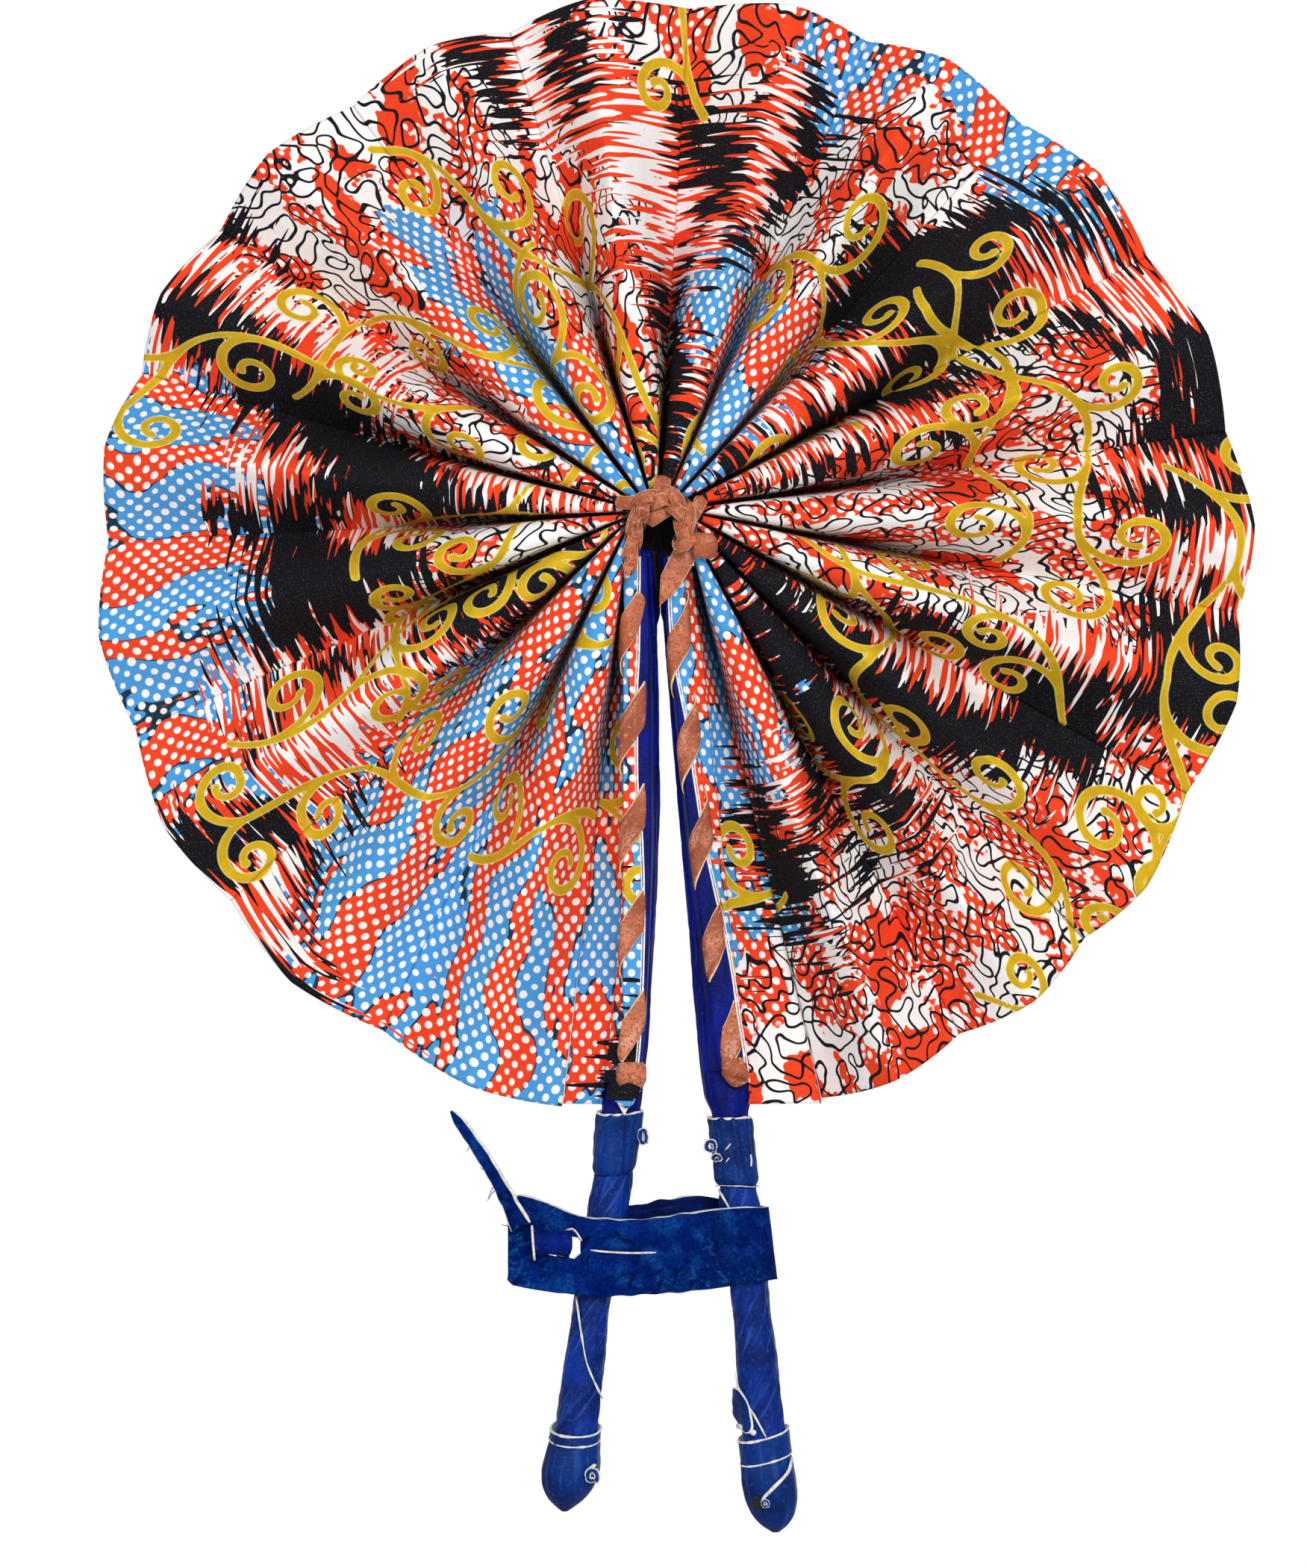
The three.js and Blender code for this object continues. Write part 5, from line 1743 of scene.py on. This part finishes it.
    def lace(self) -> None:
        """The lace: a leather ribbon that winds round the hem, with pale cut edges, and its end band."""
        shape = self.shape
        steps, profile = 420, 18
        turn = np.linspace(0, shape.lace_turns, steps)[:, None]
        girth = 2 * (shape.hem_width - self.hem_thick) + 2 * math.pi * (self.hem_thick / 2 + self.gap)
        tall = self.lace_width / math.sin(math.atan2(girth, shape.lace_pitch))
        across, height = (powered(wave(circle(profile)), 0.6)[None, :] for wave in (np.cos, np.sin))
        waver = 1 + 0.06 * lattice_noise(turn * 5, turn * 0 + shape.side, 71)
        taper = rounded(turn, shape.lace_turns - turn, 9, 0.05)
        drop = self.lace_from + turn * shape.lace_pitch + across * tall / 2 * waver * taper
        lift = self.gap + self.lace_thick / 2 * (1 + height * (1 - 0.35 * across ** 2))
        lift = lift + 0.12 * lattice_noise(turn * 14 + across, across * 1.5 + 4, 72)
        share = shape.lace_start + shape.side * turn + 0 * across
        points = self.round_hem(share, drop, lift)
        run = turn * math.hypot(girth, shape.lace_pitch) / 10
        uv = pair(run, np.linspace(0, 1, profile + 1) * 0.9)
        edge = smoothstep(0.90, 0.99, np.abs(across)) + 0 * turn
        self.add(tube(points, uv, {"edge": edge}), "lace_thong", Finish.BROWN, "lace")
        self.lace_end()

    def lace_end(self) -> None:
        """The lace's end: one broad turn round the hem's foot, rounded and slanting below."""
        shape = self.shape
        top, foot = shape.lace_band
        rows, columns = 40, 64
        drop = np.linspace(top, foot, rows)[:, None]
        share = np.linspace(0, 1, columns, endpoint=False)[None, :]
        place = (drop - top) / (foot - top)
        groove = np.clip(np.abs(place - 0.12 - 0.05 * np.cos(2 * math.pi * share)) * 7, 0, 1)
        lift = self.gap + self.lace_thick * (0.45 + 0.75 * groove ** 0.5)
        rounding = np.clip(np.minimum(place * 9, (1 - place) * 3.6), 0, 1) ** 0.5
        drop = drop + 1.2 * place * np.cos(2 * math.pi * (share - 0.62))
        lift = self.gap * rounding + (lift - self.gap) * rounding - 0.3 * (1 - rounding)
        points = self.round_hem(share, drop, lift)
        edge = smoothstep(0.45, 0.1, groove) * 0.35 + 0 * drop
        uv = pair(place * 0.7, np.linspace(0, 1.2, columns + 1))
        self.add(tube(points, uv, {"edge": edge}), "lace_end", Finish.BROWN, "lace_band")

    def tab(self) -> None:
        """The inner tab of the leather, near-black as painted shade, which closes the gap between the
        sticks' tops.
        """
        shape = self.shape
        drop = np.linspace(8.6, shape.tab_foot, 50)
        side = shape.side
        inner = 0.45 + 0.033 * drop
        wide = 3.7 * np.sqrt(np.clip((shape.tab_foot - drop) / 7.0, 0.02, 1))
        path = at_drop(inner + side * (3.75 - wide / 2), 1.7 + 0 * drop, drop)
        self.add(thong(path, wide, 0.9, 12, 4.0), "inner_tab", Finish.DARK)

    def build(self) -> None:
        """Makes the whole stick."""
        self.sleeves()
        self.tab()
        self.edges()
        self.hem()
        self.edge_pleat()
        self.lace()


# The hub

@dataclass(frozen=True)
class Bead:
    """A short run of thong that crosses over its neighbours: its ends from the hub, its width and its lift.

    Its start comes to a point over the share `point` of its length.
    """

    start: tuple[float, float]
    end: tuple[float, float]
    width: float
    y: float
    bow: float = 0.0
    point: float = 0.0
    thick: float = 1.3

    def run(self, t: Array) -> tuple[Array, Array]:
        """Its middle line in x and z at shares t of its length, as rows, and the direction across it.

        Args:
            t: the shares.

        Returns:
            The points, and the direction across.
        """
        start, end = np.array(self.start), np.array(self.end)
        way = unit(end - start)
        side = np.array([-way[1], way[0]])
        t = t.reshape(-1, 1)
        return start + (end - start) * t + side * self.bow * np.sin(math.pi * t), side


@dataclass
class Hub:
    """The thong knotted over the gathered cloth, and the gather behind it, coloured near-black as painted
    shade.
    """

    beads: tuple[Bead, ...] = (
        Bead((-9.4, 3.0), (-2.2, 3.4), 3.2, -11.6, -0.4),
        Bead((1.9, 9.0), (1.0, 2.6), 4.0, -11.9),
        Bead((-1.8, -1.9), (3.4, 1.4), 3.2, -11.2),
        Bead((8.2, -1.8), (11.3, 4.0), 3.2, -11.8),
    )
    plait_path: Pairs = ((-6.5, -14.2), (-5.6, -8.5), (-4.6, -2.2), (-3.2, 2.4), (0.8, 4.3), (4.6, 3.2),
                         (7.0, -0.6), (7.3, -4.4), (5.6, -8.8))
    plait_sway: Pairs = ((0, 0.5), (0.2, 0.85), (0.42, 1.2), (0.7, 1.4), (0.88, 1.3), (1, 0.8))
    plait_width: Pairs = ((0, 2.5), (0.25, 2.8), (0.5, 3.1), (0.8, 3.3), (1, 2.8))
    plait_pitch: float = 18.0
    plait_y: float = -12.5
    strands: int = 3
    arch: float = 1.2
    ball: Bead = Bead((8.8, -7.4), (15.0, -8.2), 6.2, -12.4, 0.3, thick=3.6)
    lace_start: Bead = Bead((1.0, -22.0), (8.2, -7.6), 5.6, -9.6, 0.3, 0.42)
    bowl_centre: tuple[float, float] = (0.8, -2.0)
    bowl_half: tuple[float, float] = (9.5, 8.0)
    bowl_folds: int = 18
    knot_radius: float = 3.9
    knot_coil: float = 0.25
    knot_ends: tuple[float, float] = (8.3, 12.5)

    def add(self, surface: Surface, name: str, *nodes: str, body: str = "hub") -> None:
        """Dresses one of the hub's thongs."""
        dress(surface, name, Finish.BROWN, body, "brown_leather", *nodes)

    def side_ball(self) -> None:
        """The knot's ball: an oval pillow along a slightly bowed line, with pale cut edges."""
        bead = self.ball
        t = np.linspace(0.0, 1.0, 40)[:, None]
        middle, side = bead.run(t)
        sides = 24
        c, s = (wave(circle(sides))[None, :] for wave in (np.cos, np.sin))
        across, height = powered(c, 0.5), powered(s, 0.6)
        swell = 0.08 + 0.92 * np.clip(1 - np.abs(2 * t - 1) ** 3.5, 0.0, 1) ** 0.6
        deep = bead.thick / 2 * (0.35 + 0.65 * swell) * (1 - 0.3 * across ** 2)
        flat = middle[:, None, :] + side * (across * (bead.width / 2 * swell))[..., None]
        y = bead.y + 1.0 - self.arch * np.sin(math.pi * t) - deep * height
        y = y + 0.12 * lattice_noise(t * 5 + across, across * 2 + bead.width, 81)
        points = at_drop(flat[..., 0], y, -flat[..., 1])
        edge = smoothstep(0.93, 1.0, np.abs(across)) * smoothstep(-0.6, 0.2, -height) + 0 * t
        surface = tube(points, pair(t * 0.8, np.linspace(0, 1, sides + 1)), {"edge": edge})
        self.add(surface, "hub_side_ball", "hub_side_knot")

    def short_thong(self, name: str, bead: Bead, *nodes: str, body: str = "hub") -> None:
        """A short run of flat thong, arched a little, with pale cut edges.

        Args:
            name: its name.
            bead: where it runs.
            nodes: the nodes that it stands for.
            body: the body that carries it.
        """
        t = np.linspace(0.0, 1.0, 60)
        middle, _ = bead.run(t)
        path = at_drop(middle[:, 0], bead.y + 1.0 - self.arch * np.sin(math.pi * t), -middle[:, 1])
        wide = bead.width * (1 + 0.05 * lattice_noise(t * 6, t * 0 + bead.width, 86))
        wide = wide * rounded(t, 1 - t, 14, 0.2)
        if bead.point:
            wide = wide * np.clip(t / bead.point, 0.12, 1)
        self.add(thong(path, wide, bead.thick, 18, 4.0, 1.2), name, *nodes, body=body)

    def plait(self) -> None:
        """The thong plaited in three strands over the gather, from the left leg to the right one.

        A strand sways across the plait's path as a sine and goes in and out as the sine of twice the
        angle, a third of a turn after the strand before it. Where a strand goes in under the others, it
        is darkened as painted shade.
        """
        line = np.array(self.plait_path)
        run = lengths(line)
        at = np.linspace(0, run[-1], 300)
        middle = np.stack([through(list(zip(run, line[:, k])), at) for k in (0, 1)], axis=-1)
        way = heading(middle)
        side = np.stack([-way[:, 1], way[:, 0]], axis=-1)
        share = at / run[-1]
        sway, width = through(self.plait_sway, share), through(self.plait_width, share)
        for k in range(self.strands):
            turn = 2 * math.pi * (at / self.plait_pitch + k / self.strands)
            flat = middle + side * (sway * np.sin(turn))[:, None]
            path = at_drop(flat[:, 0], self.plait_y + 1.65 * np.sin(2 * turn), -flat[:, 1])
            wide = width * (1 + 0.06 * lattice_noise(at / 2.2, at * 0 + k, 85))
            wide = wide * rounded(share, 1 - share, 26, 0.15)
            made = thong(path, wide, 1.3, 18, 3.4, 1.2)
            # painted shade: darker where the strand lies back, under the other strands
            under = 0.85 * smoothstep(0.0, 0.9, np.sin(2 * turn))
            made.values["shade"] = np.broadcast_to(under[:, None], made.points.shape[:2])
            self.add(made, f"hub_plait_{k + 1}", *(() if k else ("hub_braid",)))

    def gather(self) -> None:
        """The gathered cloth behind the knot, near-black as painted shade: a shallow pleated bowl, open to
        the front.
        """
        share = np.linspace(0.02, 1, 30)[:, None]
        turn = circle(120)[None, :]
        fold = np.sin(self.bowl_folds * turn)
        pleat = 1 + 0.10 * fold * share
        x = self.bowl_centre[0] + self.bowl_half[0] * share * pleat * np.sin(turn)
        z = self.bowl_centre[1] + self.bowl_half[1] * share * pleat * np.cos(turn)
        points = at_drop(x, 7.4 - 3.0 * share ** 2 + 0.5 * fold * share, -z)
        surface = Surface(points, closed=True, poles=(points[0].mean(axis=0), None))
        made = dress(surface, "hub_gathered_cloth", Finish.DARK, "hub", "cloth", thickness=0.5)

    def drawstring(self) -> None:
        """The drawstring's knot behind the gather: a wound leather button."""
        t = np.linspace(0, 1, 44)[:, None]
        turn = circle(60)[None, :]
        coil = self.knot_coil * np.abs(np.sin(3 * math.pi * t + turn / 2))
        round_ends = np.sqrt(np.clip(1 - np.abs(2 * t - 1) ** 3, 0.02, 1))
        radius = (self.knot_radius - self.knot_coil + coil) * round_ends
        x, z = self.bowl_centre
        front, back = self.knot_ends
        points = at_drop(x + radius * np.sin(turn), front + (back - front) * t, -z - radius * np.cos(turn))
        self.add(tube(points), "hub_drawstring_knot", "hub_drawstring")

    def build(self) -> None:
        """Makes the hub."""
        self.plait()
        for i, bead in enumerate(self.beads):
            self.short_thong(f"hub_thong_{i + 1}", bead, *(("hub_top_loop",) if i == 1 else ()))
        self.side_ball()
        self.short_thong("right_lace_start", self.lace_start, body="right_stick")
        self.gather()
        self.drawstring()


# The strap

@dataclass
class Strap:
    """The suede strap that loops round the sticks, with its slit, toggle, keeper and tail."""

    right: Stick
    thick: float = 1.2
    inner: float = 5.45
    bend: float = 5.8
    front_top: Pairs = ((-35.4, 165.6), (-32.5, 163.2), (-18, 168), (-4.6, 169), (14, 166.8), (27.5, 166))
    front_foot: Pairs = ((-35.4, 183.5), (-34, 184.9), (-20, 187.1), (-9.7, 187.5), (7.4, 186.4),
                         (27.5, 184))
    back_top: Pairs = ((-19, 167.5), (-6.5, 166.2), (14, 163.3), (27.5, 166))
    back_foot: Pairs = ((-19, 183), (14, 186), (27.5, 184))
    slit: tuple[float, float, float, float] = (-26.9, -17.9, 175.75, 5.7)
    tufts: Triples = ((10.5, 182.0, 2.4), (-25.0, 169.6, 2.2), (-15.0, 185.0, 1.8), (17.0, 170.0, 1.6),
                      (20.5, 176.0, 2.0), (-31.5, 173.0, 1.5))
    threads: Triples = ((0.35, -2.2, -2.6), (0.38, -1.6, -3.4), (0.52, -1.4, 0.8), (0.05, -2.4, 0.6),
                        (0.72, -1.2, -1.2))
    bend_start: float = 12.0
    back_end: float = -14.6
    lift: float = 0.3
    toggle_start: float = -30.0
    toggle_length: float = 10.1
    toggle_drop: float = 174.6
    toggle_half: tuple[float, float] = (2.15, 3.15)
    tail_root: tuple[float, float] = (-31.9, 170.6)
    tail_tip: tuple[float, float] = (-48.6, 142.7)

    @property
    def face(self) -> float:
        """The y of the strap's front face."""
        return -self.inner - self.thick

    def add(self, surface: Surface, name: str, finish: Finish, *nodes: str, body: str = "strap",
            thickness: float = 0.0) -> bpy.types.Object:
        """Dresses one of the strap's pieces."""
        return dress(surface, name, finish, body, "suede", *nodes, thickness=thickness)

    def band(self) -> None:
        """The loop: front, bend round the right stick and back, with a slit near its end.

        The path runs along X at the front, turns half round the right stick's middle line and returns. Each
        cross line runs from the top edge to the foot edge. The strap stands out softly between its edges.
        """
        front = np.linspace(self.front_top[0][0], self.bend_start, 110)
        angle = np.linspace(0, math.pi, 44)[1:-1]
        back = np.linspace(self.bend_start, self.back_end, 60)
        across = np.linspace(0, 1, 46)
        y = self.inner + self.thick / 2
        rows = [self._cross_line(x, self.front_top, self.front_foot, -y, across) for x in front]
        top, foot = self.front_top[-1][1], self.front_foot[-1][1]
        drop = top + (foot - top) * across
        for a in angle:
            x = self.right.x(drop) + (self.bend + self.thick / 2) * math.sin(a)
            rows.append(at_drop(x, -y * math.cos(a), drop))
        rows += [self._cross_line(x, self.back_top, self.back_foot, y, across) for x in back]
        points = self._joined(np.array(rows), len(front), len(angle))
        run = lengths(points[:, len(across) // 2])[:, None] / 10
        surface = Surface(points, pair(run, across * 1.9), keep=self._keep(points))
        made = self.add(surface, "strap_loop", Finish.SUEDE, "strap_band", thickness=self.thick)
        made.data.materials.append(Finish.LINING.material())
        made.data.materials.append(Finish.CUT.material())
        made.modifiers["thickness"].material_offset = 1
        made.modifiers["thickness"].material_offset_rim = 2

    @staticmethod
    def _cross_line(x: float, top: Pairs, foot: Pairs, y: float, across: Array) -> Array:
        """Points across the strap at an x, from its top edge to its foot edge."""
        return at_drop(x, y, through(top, x) + (through(foot, x) - through(top, x)) * across)

    def _joined(self, points: Array, front: int, bend: int) -> Array:
        """Eases the strap's path at both ends of the bend, and gives it soft dents and wavy cut edges.

        Args:
            points: the rows of points along the strap.
            front: rows in the front.
            bend: rows in the bend.

        Returns:
            The eased points.
        """
        for _ in range(10):
            inside = slice(front - 12, front + bend + 12)
            middle = (points[:-2] + points[2:]) / 2
            points[1:-1][inside] = 0.5 * points[1:-1][inside] + 0.5 * middle[inside]
        rows, columns = points.shape[:2]
        i = np.arange(rows)[:, None] / 4.0
        j = np.linspace(0, 1, columns)[None, :]
        wave = 0.35 * lattice_noise(i / 4, j * 2.5, 91) + 0.2 * lattice_noise(i / 1.3, j * 5, 92)
        away = np.sign(points[:, :1, 1:2]) * np.array([0, 1, 0])
        points = points + away * (wave * smoothstep(0, 0.1, 1 - np.abs(2 * j - 1)))[..., None]
        x, drop = points[..., 0], HUB_HEIGHT - points[..., 2]
        for tuft_x, tuft_drop, size in self.tufts:
            near = np.exp(-((x - tuft_x) / size) ** 2 - ((drop - tuft_drop) / size) ** 2)
            fuzz = 0.35 + 0.75 * lattice_noise(x / 0.9, drop / 0.8, 94)
            points = points - np.array([0, 1, 0]) * (near * fuzz * (points[..., 1] < 0))[..., None]
        ragged = 0.3 * lattice_noise(i / 1.7, i * 0 + 2, 93) * (1 - 2 * smoothstep(0.2, 0.8, j))
        return points + np.array([0, 0, 1]) * (ragged * np.abs(2 * j - 1) ** 4)[..., None]

    def _keep(self, points: Array) -> Array:
        """Which quads stay: all but those in the slit, a flat oval at the front.

        Args:
            points: the strap's points.

        Returns:
            True for each quad that stays.
        """
        left, right, drop, height = self.slit
        centre = (points[:-1, :-1] + points[1:, 1:]) / 2
        dx = (centre[..., 0] - (left + right) / 2) / ((right - left) / 2)
        dz = (HUB_HEIGHT - centre[..., 2] - drop) / (height / 2 * (0.72 + 0.28 * smoothstep(0.2, 0.7, dx)))
        return ~((centre[..., 1] < 0) & (np.abs(dx) ** 3 + np.abs(dz) ** 3 < 1))

    def toggle(self) -> None:
        """The toggle: the thong's end rolled up, lying across the slit."""
        t = np.linspace(0, 1, 70)[:, None]
        angle = circle(48)[None, :]
        flare = 1 + 0.14 * smoothstep(0.62, 0.95, t) - 0.08 * np.sin(math.pi * t)
        roll = 1 - 0.10 * (angle / (2 * math.pi))
        ends = np.sqrt(np.clip(1 - np.abs(2 * t - 1) ** 9, 0.15, 1))
        lump = 1 + 0.07 * lattice_noise(t * 7 + np.sin(angle), np.cos(angle) * 2, 95)
        size = flare * roll * ends * lump
        deep, tall = self.toggle_half
        y = self.face - self.lift - 2.2 + deep * size * np.cos(angle)
        drop = self.toggle_drop + tall * size * np.sin(angle)
        points = at_drop(self.toggle_start + self.toggle_length * t, y, drop)
        self.add(tube(points), "strap_toggle_roll", Finish.ROLL, "strap_toggle")
        self._keeper()

    def _keeper(self) -> None:
        """The keeper: a pale-edged loop round the toggle's left end."""
        turn = np.linspace(0, 2 * math.pi, 80)
        drop = self.toggle_drop + 3.9 * np.sin(turn)
        path = at_drop(-29.3 + 0.3 * np.sin(turn), -8.95 - 2.5 * np.cos(turn), drop)
        along = heading(path)
        across = square_to(along, np.array([1.0, 0, 0]))
        loop = strip(path, across, unit(np.cross(along, across)), 0.6, 0.7, 12, 3.0)
        self.add(loop, "strap_keeper", Finish.CUT)

    def marks(self) -> None:
        """The pale line of a second, closed slit, and the curled edge over the open one."""
        for name, line in (
            ("strap_slit_line", ((-15.6, 176.4), (-12, 176.8), (-6, 177.1), (0.2, 177.0))),
            ("strap_slit_lip", ((-23.6, 172.9), (-21.4, 171.7), (-19.6, 171.5), (-17.6, 174.2))),
        ):
            x = np.linspace(line[0][0], line[-1][0], 60)
            path = at_drop(x, self.face - 0.28, through(line, x))
            self.add(thong(path, 0.5 * blunted(60, 3), 0.55, 8, 2.5, hand=-1), name, Finish.CUT)

    def tail(self) -> None:
        """The tail: a tapering blade of folded suede with a pale cut edge, and a few loose threads."""
        rows = 60
        t = np.linspace(0, 1, rows)
        root, tip = np.array(self.tail_root), np.array(self.tail_tip)
        line = root + (tip - root) * t[:, None]
        line[:, 0] += 1.1 * np.sin(math.pi * t)
        path = at_drop(line[:, 0], self.face - self.lift - 2.1 + 0.5 * np.sin(3 * t), line[:, 1])
        along = heading(path)
        across = unit(np.cross(along, FRONT))
        across = across * np.sign(across[:, :1])
        outward = unit(np.cross(along, across))
        width = 5.0 - 2.6 * t ** 0.7 + 0.5 * lattice_noise(t * 15, t * 0, 97) * (1 - 0.5 * t)
        width = width * np.sqrt(np.clip((1 - t) * 12, 0.1, 1))
        left = path - across * 0.45
        blade = strip(left, across, outward, width, 1.2 + 0.3 * (1 - t), 20, 3.0)
        self.add(blade, "strap_tail_blade", Finish.SUEDE, "strap_tail", body="strap_tail")
        right = left + across * (width[:, None] / 2 - 0.1) - np.array([0, 0.35, 0])
        width_right = (0.95 - 0.3 * t) * rounded(t + 0.02, 1 - t, 14, 0.1)
        edge = strip(right, across, outward, width_right, 1.3, 10, 3.0)
        self.add(edge, "strap_tail_edge", Finish.CUT, body="strap_tail")
        for i, (start, dx, dz) in enumerate(self.threads):
            k = int(start * (rows - 1))
            s = np.linspace(0, 1, 14)
            bend = np.stack([dx * s, -0.4 * s, dz * s ** 1.6], axis=-1)
            thread = path[k] - across[k] * width[k] / 2 * np.sign(across[k][0]) + bend
            way = heading(thread)
            side = unit(np.cross(way, np.array([0.0, 1.0, 0.0])))
            hair = strip(thread, side, unit(np.cross(way, side)), 0.32 * (1 - 0.6 * s), 0.25, 6, 2.0)
            self.add(hair, f"strap_thread_{i + 1}", Finish.SUEDE, body="strap_tail")

    def build(self) -> None:
        """Makes the strap."""
        self.band()
        self.toggle()
        self.marks()
        self.tail()


# The studio

@dataclass(frozen=True)
class Lamp:
    """A soft square lamp aimed at a point, in metres and watts."""

    name: str
    place: tuple[float, float, float]
    size: float
    power: float

    def build(self, aim: tuple[float, float, float]) -> None:
        """Adds the lamp to the scene, facing the point.

        Args:
            aim: the point.
        """
        data = bpy.data.lights.new(self.name, "AREA")
        data.size = self.size
        data.energy = self.power
        made = bpy.data.objects.new(self.name, data)
        bpy.context.scene.collection.objects.link(made)
        made.location = self.place
        made.rotation_euler = (Vector(aim) - Vector(self.place)).to_track_quat("-Z", "Y").to_euler()


@dataclass
class Studio:
    """The camera, the lamps, the white world and the floor."""

    centre: tuple[float, float, float] = (-0.00045, 0.0, 0.1234)
    distance: float = 3.0
    view_height: float = 0.377
    sensor: float = 36.0
    floor_z: float = -0.10
    ambient: float = 0.34
    lamps: tuple[Lamp, ...] = (
        Lamp("key", (0.55, -2.0, 1.0), 0.8, 34.0),
        Lamp("fill", (-1.0, -2.0, 0.3), 1.4, 10.0),
        Lamp("back", (0.3, 1.6, 1.3), 1.5, 9.0),
    )

    def camera(self) -> None:
        """A long lens straight in front, framed as the photograph is."""
        data = bpy.data.cameras.new("camera")
        data.sensor_fit = "VERTICAL"
        data.sensor_height = self.sensor
        data.lens = self.sensor * self.distance / self.view_height
        made = bpy.data.objects.new("camera", data)
        bpy.context.scene.collection.objects.link(made)
        made.location = (self.centre[0], -self.distance, self.centre[2])
        made.rotation_euler = (math.pi / 2, 0, 0)
        bpy.context.scene.camera = made

    def world(self) -> None:
        """Soft light from everywhere, and plain white where the camera looks past the object."""
        world = bpy.data.worlds.new("studio")
        bpy.context.scene.world = world
        graph = Graph(world)
        camera, glossy, through_glass = (graph.node("LightPath", output=f"Is {kind} Ray")
                                         for kind in ("Camera", "Glossy", "Transmission"))
        seen = graph.node("Math", {0: camera, 1: glossy}, operation="MAXIMUM")
        seen = graph.node("Math", {0: seen, 1: through_glass}, operation="MAXIMUM")
        soft, white = (graph.node("Background", {"Color": Colour(255, 255, 255), "Strength": strength})
                       for strength in (self.ambient, 1.0))
        out = graph.tree.nodes.new("ShaderNodeOutputWorld")
        graph.put(out.inputs["Surface"], graph.node("MixShader", {0: seen, 1: soft, 2: white}))

    def floor(self) -> None:
        """A plain pale floor below the fan."""
        x = np.linspace(-900, 900, 9)[None, :]
        y = np.linspace(-1200, 480, 9)[:, None]
        z = np.full((9, 9), self.floor_z / MM)
        points = np.stack([*np.broadcast_arrays(x, y), z], axis=-1)
        made = Surface(points).build("floor")
        s = Shader("floor_finish")
        made.data.materials.append(s.finish(Colour(246, 246, 246), 0.9))

    def build(self) -> None:
        """Sets up the whole studio."""
        self.camera()
        self.world()
        self.floor()
        for lamp in self.lamps:
            lamp.build(self.centre)
        bpy.context.scene.view_settings.view_transform = "Standard"


def finish_cores() -> None:
    """Gives the wooden cores inside the leather their finish."""
    for name in ("left_stick", "right_stick"):
        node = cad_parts[name]
        for place in node.material_slots:
            place.material = Finish.WOOD.material()


def main() -> None:
    """Builds the studio and dresses the fan."""
    Studio().build()
    leaf = Leaf()
    leaf.build()
    left, right = Stick(LEFT, leaf), Stick(RIGHT, leaf)
    left.build()
    right.build()
    left.curl("collar_curl", ("collar_knot",), 149.4, 6.3, -1.5, 2.9, 4.8, 1.2)
    left.curl("cap_curl", ("cap_knot",), 230.6, 5.3, -6.6, 3.9, 4.4, 1.25)
    left.seam("cap_knot_fold", LEFT.cap, ((228.0, -14.6), (229.4, -16.2), (231.0, -16.8)), 0.8, 0.3)
    right.curl("collar_curl", ("collar_knot",), 151.6, -5.4, -4.7, 3.4, 3.7, 1.0)
    right.curl("collar_lump", (), 154.3, -4.3, -4.6, 2.7, 2.2, 1.1)
    right.curl("cap_curl", ("cap_knot",), 237.2, -1.6, -7.4, 2.4, 2.4, 0.8)
    # painted shade: a near-black strip that stands for the shade in the right cap's hollow
    right.seam("cap_hollow", RIGHT.cap, ((235.6, 24.0), (237.3, 24.6), (239.0, 25.2)), 3.0, 0.0,
               Finish.DARK, 1.0)
    right.seam("cap_fold_edge", RIGHT.cap,
               ((226.4, 32.6), (229.9, 31.5), (234.0, 27.8), (236.2, 26.0), (237.9, 26.4)), 0.8)
    for i, line in enumerate((((150.9, 18.1), (152.6, 16.8)), ((154.3, 17.8), (155.8, 16.7)),
                              ((153.6, 22.8), (155.0, 23.0), (156.4, 22.9)))):
        right.seam(f"collar_scratch_{i + 1}", RIGHT.collar, line, 0.32, 0.1)
    right.ring_edge("collar_foot_edge", RIGHT.collar, RIGHT.collar_ends[1] - 0.3, -0.35, 0.25, 57)
    right.flap()
    right.seam("flap_curl", RIGHT.grip, ((218.7, 19.9), (219.0, 21.2), (219.7, 23.0), (220.6, 24.4)),
               1.5, 1.0)
    Hub().build()
    Strap(right).build()
    finish_cores()
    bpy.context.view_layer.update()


if __name__ == "__main__":
    main()
